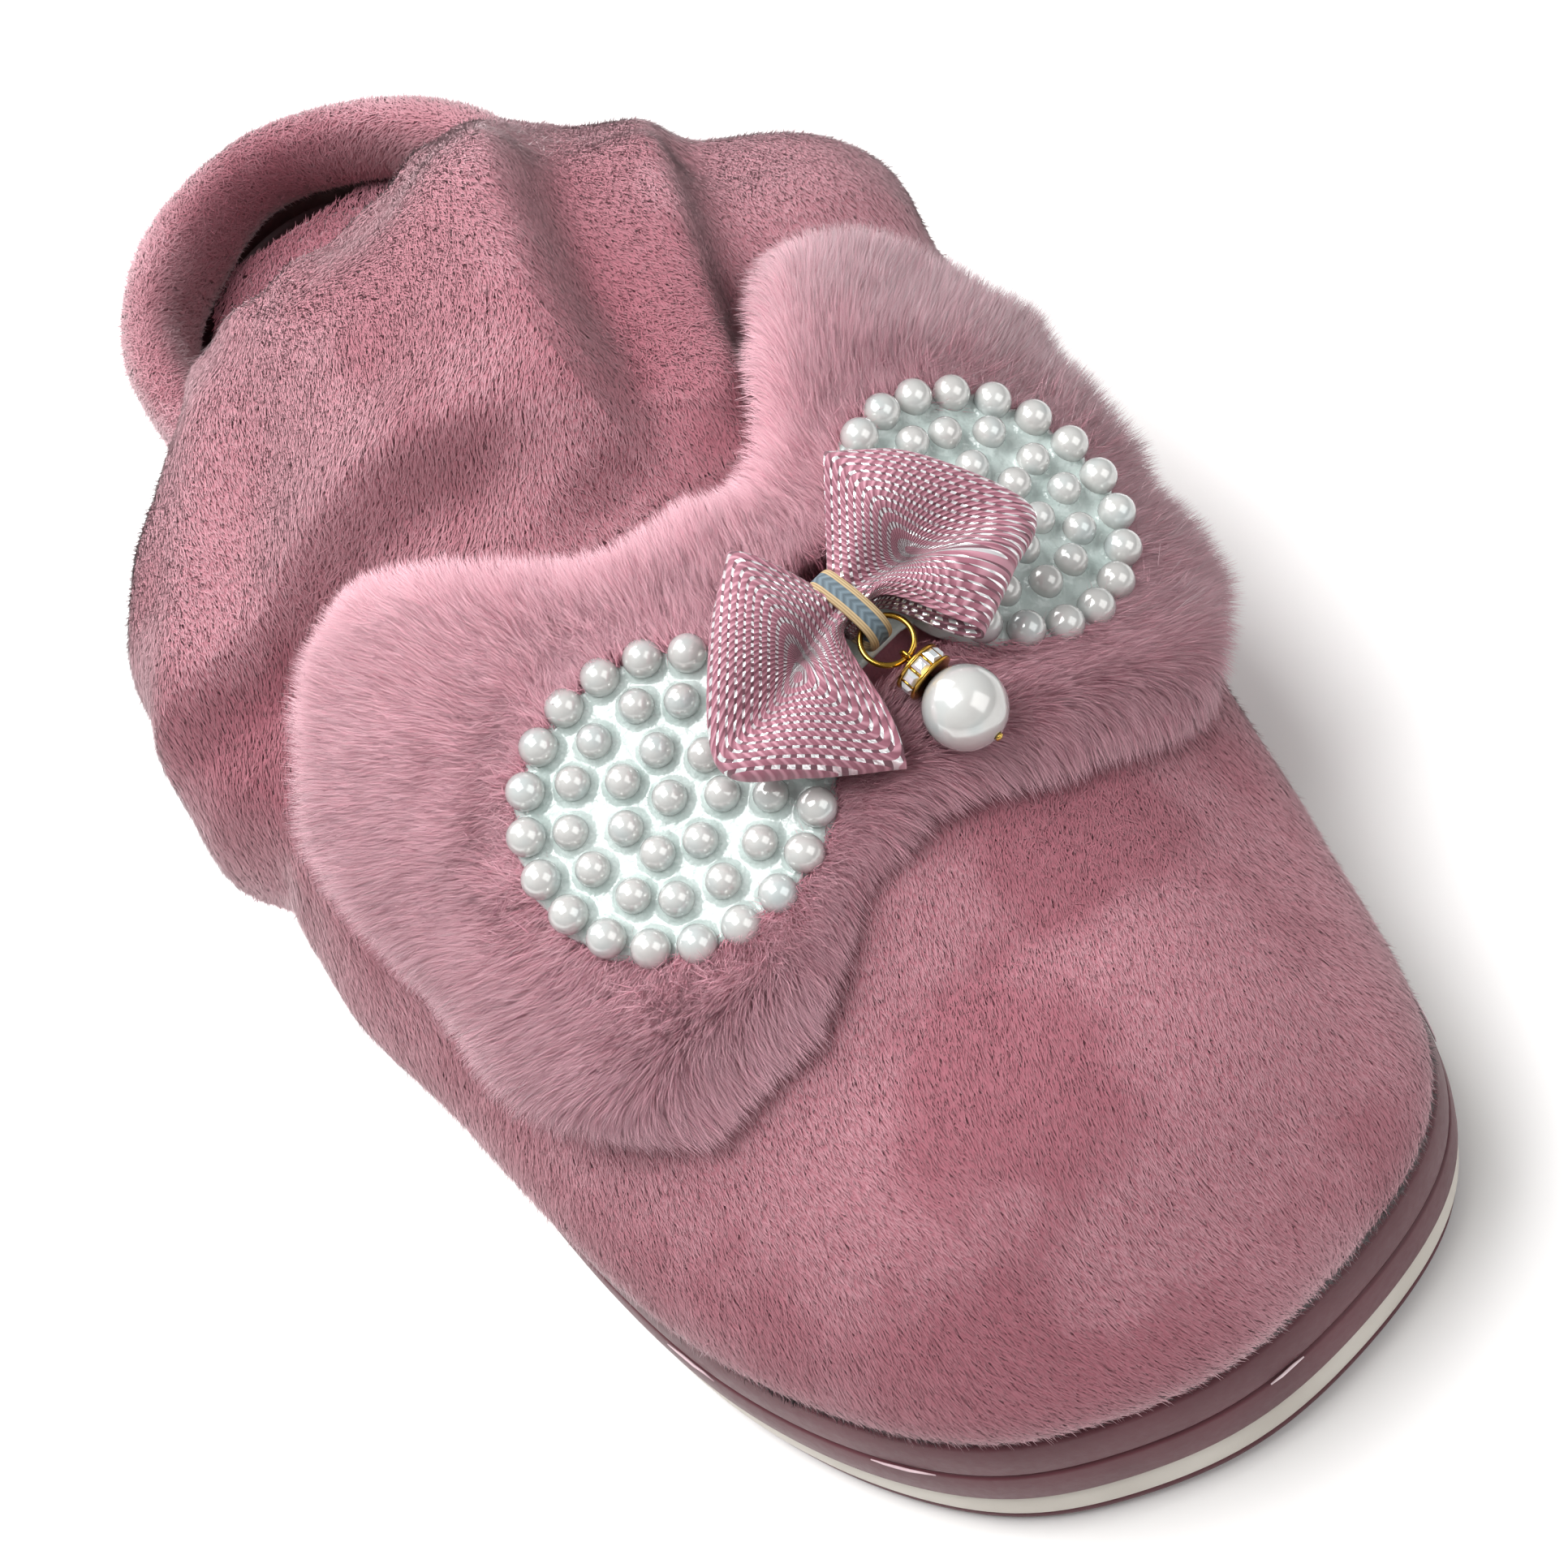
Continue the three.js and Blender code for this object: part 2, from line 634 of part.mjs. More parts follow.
// Frame standing on the upper at x, y, turned about its normal by the bow's yaw.
function seatFrame(x, y, lift) {
  const spot = (px, py) => {
    const [side, phi] = climbAt(px, py, lift);
    return new THREE.Vector3(px, py, upperPoint(py, side, phi, lift)[2]);
  };
  const step = 9;
  const origin = spot(x, y);
  const across = spot(x + step, y).sub(spot(x - step, y));
  const back = spot(x, y + step).sub(spot(x, y - step));
  const normal = across.clone().cross(back).normalize();
  const yaw = (BOW_YAW * Math.PI) / 180;
  const right = new THREE.Vector3(Math.cos(yaw), Math.sin(yaw), 0);
  const up = normal.clone().cross(right).normalize();
  right.copy(up.clone().cross(normal));
  return new THREE.Matrix4().makeBasis(right, up, normal).setPosition(origin);
}

const WAIST_FRAME = seatFrame(BOW_X, BOW_Y, WAIST_LIFT);

// World point at distances to the right, forwards and up from the middle of the bow's waist.
const layout = (right, forward, up) =>
  new THREE.Vector3(right, -forward, up).applyMatrix4(WAIST_FRAME).toArray();

function wingFrame(reach) {
  const spot = layout(reach, -WING_BACK, 0);
  return seatFrame(spot[0], spot[1], WING_LIFT);
}

const WING_FRAMES = [wingFrame(-LEFT_WING_REACH), wingFrame(RIGHT_WING_REACH)];

// Rings of pearls on a wing: [ring radius, how many].
const PEARL_RINGS = [
  [WING_RADIUS - PEARL_DIAMETER * 0.36, 20],
  [WING_RADIUS - PEARL_DIAMETER * 1.42, 13],
  [WING_RADIUS - PEARL_DIAMETER * 2.5, 7],
  [0, 1],
];

function wingBacking() {
  const points = [];
  for (let i = 0; i < 40; i += 1) {
    const turn = (i / 40) * 2 * Math.PI;
    const radius = WING_RADIUS + (i % 2 ? 0 : PEARL_DIAMETER * 0.16);
    points.push(new THREE.Vector2(radius * Math.cos(turn), radius * Math.sin(turn)));
  }
  const shape = new THREE.Shape(points);
  return new THREE.ExtrudeGeometry(shape, { depth: APPLIQUE_THICKNESS, bevelEnabled: false });
}

// Strip of backing under the ribbon's waist, from wing to wing, grown on all sides by a margin.
function bridge(margin) {
  const half = RIBBON_WAIST * 0.75 + margin;
  const top = APPLIQUE_THICKNESS + margin;
  const section = (frame, x) =>
    [[-half, -margin], [half, -margin], [half, top], [-half, top]].map(
      ([y, z]) => new THREE.Vector3(x, y, z).applyMatrix4(frame).toArray(),
    );
  const tuck = WING_RADIUS * 0.72;
  return loftBody([
    section(WING_FRAMES[0], tuck),
    section(WAIST_FRAME, -RIBBON_WAIST / 2),
    section(WAIST_FRAME, RIBBON_WAIST / 2),
    section(WING_FRAMES[1], -tuck),
  ]);
}

function pearlApplique() {
  const backing = wingBacking();
  const pearl = new THREE.IcosahedronGeometry(PEARL_DIAMETER / 2, 0);
  const toWaist = WAIST_FRAME.clone().invert();
  const bare = RIBBON_WAIST / 2 + PEARL_DIAMETER;
  let solid = toManifold(bridge(0));
  WING_FRAMES.forEach((frame) => {
    solid = solid.add(toManifold(placed(backing, frame)));
    PEARL_RINGS.forEach(([radius, count]) => {
      for (let i = 0; i < count; i += 1) {
        const turn = (i / count) * 2 * Math.PI;
        const spot = new THREE.Vector3(radius * Math.cos(turn), radius * Math.sin(turn), 0);
        spot.z = PEARL_DIAMETER * 0.52;
        spot.applyMatrix4(frame);
        const seen = spot.clone().applyMatrix4(toWaist);
        if (Math.hypot(seen.x, seen.y) < bare) continue;
        solid = solid.add(toManifold(pearl.clone().translate(...spot)));
      }
    });
  });
  return fromManifold(solid);
}

// ---- ribbon bow, strap and charm, laid out from the middle of the bow's waist ----
const STRAP_BOTTOM = APPLIQUE_THICKNESS + 2 * SEAT_GAP;
const WAIST_UP = STRAP_BOTTOM + STRAP_THICKNESS + SEAT_GAP + RIBBON_WAIST_HEIGHT / 2;
const RING_UP = WAIST_UP + 1.2;
const RING_RADIUS = (RING_DIAMETER - RING_WIRE) / 2;
const WAIST_FRONT = (RIBBON_WAIST / 2) * 0.84;
const RING_BACK = WAIST_FRONT + SEAT_GAP + RING_WIRE / 2;
const RING_CENTRE = RING_BACK + RING_RADIUS;
const RING_FRONT = RING_CENTRE + RING_RADIUS;
const RONDELLE_START = RING_FRONT + EYE_DIAMETER / 2 + PIN_WIRE / 2 + BEAD_GAP;
const DROP_START = RONDELLE_START + RONDELLE_LENGTH + BEAD_GAP;
const PIN_END = DROP_START + DROP_DIAMETER + BEAD_GAP;

// Loop corners as [right, forward, height over the waist]: back, far and front corner.
const LEFT_CORNERS = [[-6, -13, 3.2], [-23.5, 3, 1.6], [-9, 18, 0.2]];
const RIGHT_CORNERS = [[12, -13.5, 3.2], [23, 8, 1.6], [7.8, 13.5, 0.8]];

// Puffed loop of ribbon from the tied waist out to its three corners. Each row of stops: how
// far along, its back edge, its front edge, its thickness.
function ribbonLoop(side, corners) {
  const half = RIBBON_WAIST / 2;
  const tied = STRAP_WIDTH / 2 + SEAT_GAP;
  const shoulder = RING_DIAMETER / 2 + 1.2;
  const toward = (corner, t) => corner.map((value, k) => mix(value, corners[1][k], t));
  const waist = RIBBON_WAIST_HEIGHT;
  const stops = [
    [[side * 0.3, -half, 0], [side * 0.3, half, 0], waist],
    [[side * tied, -half, 0], [side * tied, half, 0], waist],
    [[side * shoulder, -half * 1.7, 1.2], [side * shoulder, half * 1.15, 0.2], waist],
    [corners[0], corners[2], RIBBON_CROWN],
    [toward(corners[0], 0.5), toward(corners[2], 0.5), RIBBON_CROWN],
    [toward(corners[0], 0.85), toward(corners[2], 0.85), RIBBON_CROWN * 0.7],
    [toward(corners[0], 0.97), toward(corners[2], 0.97), RIBBON_CROWN * 0.35],
  ];
  return loftBody(
    stops.map(([back, front, thick]) => {
      const section = [];
      for (let j = 0; j < 12; j += 1) {
        const turn = (j / 12) * 2 * Math.PI;
        const spot = back.map((value, k) => mix(value, front[k], (1 - Math.cos(turn)) / 2));
        section.push(layout(spot[0], spot[1], WAIST_UP + spot[2] + (thick / 2) * Math.sin(turn)));
      }
      return section;
    }),
  );
}

// Flat strap tied round the ribbon's waist, with a nose at the front that the ring hangs in.
function tieStrap() {
  const half = STRAP_THICKNESS / 2;
  const tall = RIBBON_WAIST_HEIGHT / 2 + SEAT_GAP + half;
  const deep = RIBBON_WAIST / 2 + SEAT_GAP + half;
  const nose = RING_BACK + RING_WIRE / 2 + 1.5;
  const path = new THREE.CatmullRomCurve3(
    [
      [-deep, 0],
      [-deep * 0.72, -tall * 0.85],
      [0, -tall],
      [deep * 0.8, -tall * 0.92],
      [nose, -tall * 0.35],
      [nose + 0.3, RING_UP - WAIST_UP],
      [nose - 0.9, tall * 0.92],
      [deep * 0.45, tall * 1.1],
      [-deep * 0.2, tall * 1.03],
      [-deep * 0.8, tall * 0.75],
    ].map(([f, z]) => new THREE.Vector3(f, z, 0)),
    true,
    'centripetal',
  );
  const count = 28;
  const points = path.getSpacedPoints(count).slice(0, count);
  const corners = [[1, 1], [1, -1], [-1, -1], [-1, 1]];
  return loopBody(count, 4, (i, j) => {
    const before = points[(i + count - 1) % count];
    const after = points[(i + 1) % count];
    const run = after.clone().sub(before).normalize();
    const [across, out] = corners[j];
    const f = points[i].x + run.y * half * out;
    const z = points[i].y - run.x * half * out;
    return layout((across * STRAP_WIDTH) / 2, f, WAIST_UP + z);
  });
}

function jumpRing() {
  return loopBody(20, 8, (i, j) => {
    const turn = (i / 20) * 2 * Math.PI;
    const roll = (j / 8) * 2 * Math.PI;
    const radius = RING_RADIUS + (RING_WIRE / 2) * Math.cos(roll);
    const z = RING_UP + (RING_WIRE / 2) * Math.sin(roll);
    return layout(radius * Math.sin(turn), RING_CENTRE + radius * Math.cos(turn), z);
  });
}

// Bead turned about the charm's own axis, from a closed [radius, distance] profile.
function bead(profile, sides) {
  return loopBody(sides, profile.length, (i, j) => {
    const turn = (i / sides) * 2 * Math.PI;
    const [radius, forward] = profile[j];
    return layout(radius * Math.cos(turn), forward, RING_UP + radius * Math.sin(turn));
  });
}

function eyePin() {
  const wire = PIN_WIRE / 2;
  const eye = loopBody(14, 6, (i, j) => {
    const turn = (i / 14) * 2 * Math.PI;
    const roll = (j / 6) * 2 * Math.PI;
    const radius = EYE_DIAMETER / 2 + wire * Math.cos(roll);
    const forward = RING_FRONT + radius * Math.cos(turn);
    return layout(wire * Math.sin(roll), forward, RING_UP + radius * Math.sin(turn));
  });
  const rod = (from, to, radius) => {
    const section = (forward) => {
      const points = [];
      for (let j = 0; j < 10; j += 1) {
        const turn = (j / 10) * 2 * Math.PI;
        points.push(layout(radius * Math.cos(turn), forward, RING_UP + radius * Math.sin(turn)));
      }
      return points;
    };
    return loftBody([section(from), section(to)]);
  };
  const shaft = rod(RING_FRONT + EYE_DIAMETER / 2, PIN_END + PIN_WIRE, wire);
  const head = rod(PIN_END, PIN_END + PIN_WIRE, PIN_WIRE * 1.5);
  return fromManifold(toManifold(eye).add(toManifold(shaft)).add(toManifold(head)));
}

const BORE = PIN_WIRE / 2 + BORE_GAP;

function rondelleBody() {
  const rim = RONDELLE_DIAMETER / 2;
  const core = rim * 0.5;
  const flange = RONDELLE_LENGTH * 0.16;
  const start = RONDELLE_START;
  const end = RONDELLE_START + RONDELLE_LENGTH;
  return bead(
    [
      [BORE, start],
      [rim * 0.92, start],
      [rim, start + flange],
      [core, start + flange],
      [core, end - flange],
      [rim, end - flange],
      [rim * 0.92, end],
      [BORE, end],
    ],
    20,
  );
}

function rondelleStones() {
  const rim = RONDELLE_DIAMETER / 2;
  const low = (rim * 0.5 + BEAD_GAP) / Math.cos(Math.PI / 8);
  const start = RONDELLE_START + RONDELLE_LENGTH * 0.16 + BEAD_GAP;
  const end = RONDELLE_START + RONDELLE_LENGTH * 0.84 - BEAD_GAP;
  return bead([[low, start], [rim * 0.95, start], [rim * 0.95, end], [low, end]], 8);
}

function dropPearl() {
  const radius = DROP_DIAMETER / 2;
  const mouth = Math.asin(BORE / radius);
  const profile = [];
  for (let j = 0; j <= 10; j += 1) {
    const turn = mix(mouth, Math.PI - mouth, j / 10);
    profile.push([radius * Math.sin(turn), DROP_START + radius - radius * Math.cos(turn)]);
  }
  return bead(profile, 18);
}

// Fur envelope with the places that the applique, ribbon and charm press into it cut away.
function furBow() {
  let solid = toManifold(bowSkin(FUR_LIFT, pile, 0));
  const reach = WING_RADIUS + PEARL_DIAMETER / 2;
  const well = new THREE.CylinderGeometry(reach, reach, 40, 30);
  well.rotateX(Math.PI / 2).translate(0, 0, 20 - SEAT_GAP);
  WING_FRAMES.forEach((frame) => {
    solid = solid.subtract(toManifold(placed(well, frame)));
  });
  const slot = new THREE.BoxGeometry(LEFT_WING_REACH + RIGHT_WING_REACH, 34, 40);
  slot.translate(0, 0, 20 - SEAT_GAP);
  solid = solid.subtract(toManifold(placed(slot, WAIST_FRAME)));
  solid = solid.subtract(toManifold(bridge(SEAT_GAP + FACET_GAP)));
  const nest = new THREE.SphereGeometry(DROP_DIAMETER / 2 + 1, 16, 10);
  nest.translate(...layout(0, DROP_START + DROP_DIAMETER / 2, RING_UP));
  return fromManifold(solid.subtract(toManifold(nest)));
}

// ---- finishes ----
const finish = (color, roughness, metalness = 0) =>
  new THREE.MeshStandardMaterial({ color, roughness, metalness });
const MAUVE_RUBBER = finish(0x6e3a44, 0.45);
const IVORY_FOAM = finish(0xd8d2c6, 0.6);
const BOARD = finish(0xb49a78, 0.8);
const PALE_FOAM = finish(0xe6e2d8, 0.9);
const PINK_PLUSH = finish(0xb9808c, 0.95);
const DEEP_PLUSH = finish(0xa86a77, 0.95);
const PINK_LINING = finish(0xc095a0, 0.95);
const ELASTIC = finish(0xf2f0ea, 0.8);
const PINK_FUR = finish(0xc9a0a9, 1.0);
const CLOTH = finish(0xa87c86, 0.9);
const PEARL_RESIN = finish(0xe4eae6, 0.2);
const RIBBON = finish(0xa86a7a, 0.6);
const BRAID = finish(0xa88f6e, 0.8);
const GOLD = finish(0xb8963e, 0.25, 1);
const CRYSTAL = finish(0xe8eef2, 0.05);
const PEARL = finish(0xe8e8e6, 0.15);

const slipper = new THREE.Group();
function piece(name, geometry, material) {
  const mesh = new THREE.Mesh(geometry, material);
  mesh.name = name;
  slipper.add(mesh);
}

const FOAM_LIFT = -PLUSH_THICKNESS - LAYER_GAP;
const LINING_LIFT = FOAM_LIFT - FOAM_THICKNESS - LAYER_GAP;

piece('tread', slab(1.0, 0, TREAD_THICKNESS), MAUVE_RUBBER);
piece('midsole', slab(0.6, MIDSOLE_BOTTOM, MIDSOLE_THICKNESS), IVORY_FOAM);
piece('foxing_strip', band(DECK, FOXING_HEIGHT, 0, 0.2), MAUVE_RUBBER);
piece('edge_binding', band(BINDING_BOTTOM, BINDING_HEIGHT, 0.2, BAND_LEAN), MAUVE_RUBBER);
piece('insole_board', slab(FOOTBED_INSET, DECK, BOARD_THICKNESS), BOARD);
const FOOTBED_BOTTOM = DECK + BOARD_THICKNESS + SEAT_GAP;
const FOAM_INSET = FOOTBED_INSET + FOOTBED_TAPER;
piece('footbed_foam', slab(FOAM_INSET, FOOTBED_BOTTOM, FOOTBED_THICKNESS), PALE_FOAM);
const COVER_BOTTOM = FOOTBED_BOTTOM + FOOTBED_THICKNESS + SEAT_GAP;
const COVER_INSET = FOAM_INSET + FOOTBED_TAPER;
piece('footbed_cover', slab(COVER_INSET, COVER_BOTTOM, FOOTBED_COVER_THICKNESS), DEEP_PLUSH);
piece('heel_rim_foam', rimFoam(), PALE_FOAM);
piece('heel_rim_cover', rimCover(), PINK_PLUSH);
piece('vamp_plush', vampSkin(0, PLUSH_THICKNESS), PINK_PLUSH);
piece('vamp_foam', vampSkin(FOAM_LIFT, FOAM_THICKNESS), PALE_FOAM);
piece('vamp_lining', vampSkin(LINING_LIFT, LINING_THICKNESS), PINK_LINING);
piece('collar_plush', collarSkin(0, 1, 0, PLUSH_THICKNESS), PINK_PLUSH);
piece('collar_padding', collarSkin(0, PADDING_END, FOAM_LIFT, FOAM_THICKNESS), PALE_FOAM);
piece('collar_elastic', collarSkin(ELASTIC_START, ELASTIC_END, FOAM_LIFT, 1.6, 2), ELASTIC);
piece('collar_lining', collarSkin(0, 1, LINING_LIFT, LINING_THICKNESS), PINK_LINING);
piece('bow_backing', bowSkin(BACKING_LIFT, () => BOW_BACKING, 0), CLOTH);
piece('fur_bow', furBow(), PINK_FUR);
piece('pearl_applique', pearlApplique(), PEARL_RESIN);
piece('ribbon_loop_left', ribbonLoop(-1, LEFT_CORNERS), RIBBON);
piece('ribbon_loop_right', ribbonLoop(1, RIGHT_CORNERS), RIBBON);
piece('tie_strap', tieStrap(), BRAID);
piece('jump_ring', jumpRing(), GOLD);
piece('eye_pin', eyePin(), GOLD);
piece('rondelle', rondelleBody(), GOLD);
piece('rondelle_stones', rondelleStones(), CRYSTAL);
piece('drop_pearl', dropPearl(), PEARL);

export default slipper;
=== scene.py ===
import itertools
import math

import bmesh
import bpy
import numpy as np
from mathutils import Matrix, Vector


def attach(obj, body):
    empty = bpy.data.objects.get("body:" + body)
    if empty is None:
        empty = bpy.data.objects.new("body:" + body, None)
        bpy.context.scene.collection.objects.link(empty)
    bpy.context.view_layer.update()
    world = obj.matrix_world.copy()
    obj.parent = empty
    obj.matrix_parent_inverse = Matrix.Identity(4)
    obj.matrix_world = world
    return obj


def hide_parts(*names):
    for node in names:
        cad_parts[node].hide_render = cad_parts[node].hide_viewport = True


# A plush house slipper for the right foot: toe towards -Y, inner side at +X, floor at z = 0.
# Lengths are in millimetres up to the moment a mesh is made.
MM = 0.001

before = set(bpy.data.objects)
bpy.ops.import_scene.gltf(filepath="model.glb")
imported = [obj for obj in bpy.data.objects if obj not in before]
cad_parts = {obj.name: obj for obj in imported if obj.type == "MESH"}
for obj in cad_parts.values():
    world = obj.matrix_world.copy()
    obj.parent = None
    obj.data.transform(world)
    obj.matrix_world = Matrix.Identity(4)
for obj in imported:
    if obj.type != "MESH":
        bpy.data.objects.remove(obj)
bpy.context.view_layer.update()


# ---- camera, light and floor ----
def make_camera():
    azimuth, elevation, roll = (math.radians(a) for a in (-10.0, 52.54, -26.89))
    back = Vector(
        (
            math.sin(azimuth) * math.cos(elevation),
            -math.cos(azimuth) * math.cos(elevation),
            math.sin(elevation),
        )
    )
    side = Vector((0, 0, 1)).cross(back).normalized()
    over = back.cross(side)
    right = side * math.cos(roll) + over * math.sin(roll)
    up = over * math.cos(roll) - side * math.sin(roll)
    data = bpy.data.cameras.new("camera")
    data.lens = 72.07
    data.sensor_width = 36
    camera = bpy.data.objects.new("camera", data)
    turn = Matrix((right, up, back)).transposed().to_4x4()
    place = Vector((0.00327, -0.03325, 0.030)) + back * 0.4
    camera.matrix_world = Matrix.Translation(place) @ turn
    bpy.context.scene.collection.objects.link(camera)
    bpy.context.scene.camera = camera


def make_lamp(name, place, size, power, aim=(0, -0.01, 0.03)):
    data = bpy.data.lights.new(name, "AREA")
    data.size = size
    data.energy = power
    lamp = bpy.data.objects.new(name, data)
    lamp.location = place
    lamp.rotation_mode = "QUATERNION"
    direction = Vector(aim) - Vector(place)
    lamp.rotation_quaternion = direction.to_track_quat("-Z", "Y")
    bpy.context.scene.collection.objects.link(lamp)


def make_studio():
    scene = bpy.context.scene
    scene.view_settings.view_transform = "Standard"
    world = bpy.data.worlds.new("studio")
    scene.world = world
    world.use_nodes = True
    world.node_tree.nodes["Background"].inputs["Color"].default_value = (1, 1, 1, 1)
    world.node_tree.nodes["Background"].inputs["Strength"].default_value = 0.3
    make_lamp("key_lamp", (-0.24, 0.02, 0.85), 0.5, 7.4)
    make_lamp("fill_lamp", (0.5, -0.6, 0.6), 0.7, 2.4)
    make_lamp("back_lamp", (-0.25, 0.6, 0.6), 0.7, 7.0)
    mesh = bpy.data.meshes.new("floor")
    reach = 6.0
    corners = [(-reach, -reach, 0), (reach, -reach, 0), (reach, reach, 0), (-reach, reach, 0)]
    mesh.from_pydata(corners, [], [(0, 1, 2, 3)])
    floor = bpy.data.objects.new("floor", mesh)
    scene.collection.objects.link(floor)
    floor.data.materials.append(floor_finish())


# ---- node helpers ----
def new_material(name):
    material = bpy.data.materials.new(name)
    material.use_nodes = True
    return material, material.node_tree, material.node_tree.nodes["Principled BSDF"]


def colour(hex_code):
    """Linear RGBA of an sRGB hex colour."""
    parts = [int(hex_code[i : i + 2], 16) / 255 for i in (0, 2, 4)]
    line = [c / 12.92 if c <= 0.04045 else ((c + 0.055) / 1.055) ** 2.4 for c in parts]
    return (*line, 1.0)


def add(tree, kind, **settings):
    node = tree.nodes.new(kind)
    for key, value in settings.items():
        setattr(node, key, value)
    return node


def plug(tree, source, target):
    tree.links.new(source, target)


def noise(tree, vector, scale, detail=2.0, roughness=0.5):
    node = add(tree, "ShaderNodeTexNoise")
    node.inputs["Scale"].default_value = scale
    node.inputs["Detail"].default_value = detail
    node.inputs["Roughness"].default_value = roughness
    plug(tree, vector, node.inputs["Vector"])
    return node.outputs["Fac"]


def ramp(tree, value, stops):
    node = add(tree, "ShaderNodeValToRGB")
    elements = node.color_ramp.elements
    while len(elements) < len(stops):
        elements.new(0.5)
    for element, (place, shade) in zip(elements, stops):
        element.position = place
        element.color = shade
    plug(tree, value, node.inputs["Fac"])
    return node.outputs["Color"]


def blend_colours(tree, factor, first, second, mode="MIX"):
    node = add(tree, "ShaderNodeMix", data_type="RGBA", blend_type=mode)
    for socket, value in ((node.inputs[0], factor), (node.inputs[6], first), (node.inputs[7], second)):
        if isinstance(value, bpy.types.NodeSocket):
            plug(tree, value, socket)
        else:
            socket.default_value = value
    return node.outputs[2]


def maths(tree, operation, first, second=0.0, clamp=False):
    node = add(tree, "ShaderNodeMath", operation=operation, use_clamp=clamp)
    for socket, value in ((node.inputs[0], first), (node.inputs[1], second)):
        if isinstance(value, bpy.types.NodeSocket):
            plug(tree, value, socket)
        else:
            socket.default_value = value
    return node.outputs[0]


def bump(tree, height, distance, strength=1.0):
    node = add(tree, "ShaderNodeBump")
    node.inputs["Distance"].default_value = distance * MM
    node.inputs["Strength"].default_value = strength
    plug(tree, height, node.inputs["Height"])
    return node.outputs["Normal"]


def object_place(tree):
    return add(tree, "ShaderNodeTexCoord").outputs["Object"]


def strand_place(tree):
    """The piece's own map: shade across it, distance along the fibre up it."""
    node = add(tree, "ShaderNodeUVMap", uv_map="OFBake")
    split = add(tree, "ShaderNodeSeparateXYZ")
    plug(tree, node.outputs["UV"], split.inputs["Vector"])
    return split.outputs["X"], split.outputs["Y"]


def outward_normal(tree):
    """The stored normal, kept outwards on both faces of a thin fibre."""
    place = add(tree, "ShaderNodeNewGeometry")
    turn = maths(tree, "SUBTRACT", 1.0, maths(tree, "MULTIPLY", place.outputs["Backfacing"], 2.0))
    node = add(tree, "ShaderNodeVectorMath", operation="SCALE")
    plug(tree, place.outputs["Normal"], node.inputs[0])
    plug(tree, turn, node.inputs["Scale"])
    return node.outputs[0]


def grain_group():
    """Fine random relief and shade, for moulded and sprayed surfaces."""
    group = bpy.data.node_groups.new("fine grain", "ShaderNodeTree")
    face = group.interface
    face.new_socket("Place", in_out="INPUT", socket_type="NodeSocketVector")
    face.new_socket("Scale", in_out="INPUT", socket_type="NodeSocketFloat")
    face.new_socket("Shade", in_out="OUTPUT", socket_type="NodeSocketFloat")
    face.new_socket("Relief", in_out="OUTPUT", socket_type="NodeSocketFloat")
    start = group.nodes.new("NodeGroupInput")
    end = group.nodes.new("NodeGroupOutput")
    fine = group.nodes.new("ShaderNodeTexNoise")
    fine.inputs["Detail"].default_value = 4
    broad = group.nodes.new("ShaderNodeTexNoise")
    broad.inputs["Detail"].default_value = 2
    slower = group.nodes.new("ShaderNodeMath")
    slower.operation = "MULTIPLY"
    slower.inputs[1].default_value = 0.06
    group.links.new(start.outputs["Place"], fine.inputs["Vector"])
    group.links.new(start.outputs["Place"], broad.inputs["Vector"])
    group.links.new(start.outputs["Scale"], fine.inputs["Scale"])
    group.links.new(start.outputs["Scale"], slower.inputs[0])
    group.links.new(slower.outputs[0], broad.inputs["Scale"])
    group.links.new(broad.outputs["Fac"], end.inputs["Shade"])
    group.links.new(fine.outputs["Fac"], end.inputs["Relief"])
    return group


GRAIN = grain_group()


def grain(tree, scale):
    node = add(tree, "ShaderNodeGroup", node_tree=GRAIN)
    node.inputs["Scale"].default_value = scale
    plug(tree, object_place(tree), node.inputs["Place"])
    return node.outputs["Shade"], node.outputs["Relief"]


# ---- finishes ----
def floor_finish():
    material, tree, shader = new_material("pale floor")
    shade = noise(tree, object_place(tree), 3.0)
    plug(tree, ramp(tree, shade, [(0, colour("F6F5F4")), (1, colour("FAF9F8"))]), shader.inputs["Base Color"])
    shader.inputs["Roughness"].default_value = 0.9
    return material


def moulded_finish(name, dark, light, roughness, relief=0.05, scale=900):
    """Moulded rubber, foam or board: slight shade changes and a fine relief."""
    material, tree, shader = new_material(name)
    shade, fine = grain(tree, scale)
    plug(tree, ramp(tree, shade, [(0.3, colour(dark)), (0.7, colour(light))]), shader.inputs["Base Color"])
    rough = maths(tree, "MULTIPLY_ADD", fine, 0.2)
    rough.node.inputs[2].default_value = roughness - 0.1
    plug(tree, rough, shader.inputs["Roughness"])
    plug(tree, bump(tree, fine, relief), shader.inputs["Normal"])
    return material


def cloth_finish(name, dark, light, pitch=0.8):
    """Plain knit or weave: crossed ribs over a mottled ground."""
    material, tree, shader = new_material(name)
    place = object_place(tree)
    split = add(tree, "ShaderNodeSeparateXYZ")
    plug(tree, place, split.inputs["Vector"])
    rate = 2 * math.pi / (pitch * MM)
    across = maths(tree, "SINE", maths(tree, "MULTIPLY", split.outputs["X"], rate))
    along = maths(tree, "SINE", maths(tree, "MULTIPLY", split.outputs["Y"], rate))
    weave = maths(tree, "MULTIPLY", across, along)
    mottled = noise(tree, place, 120, 3)
    plug(tree, ramp(tree, mottled, [(0.3, colour(dark)), (0.7, colour(light))]), shader.inputs["Base Color"])
    plug(tree, bump(tree, weave, 0.12), shader.inputs["Normal"])
    shader.inputs["Roughness"].default_value = 0.92
    shader.inputs["Sheen Weight"].default_value = 0.3
    return material


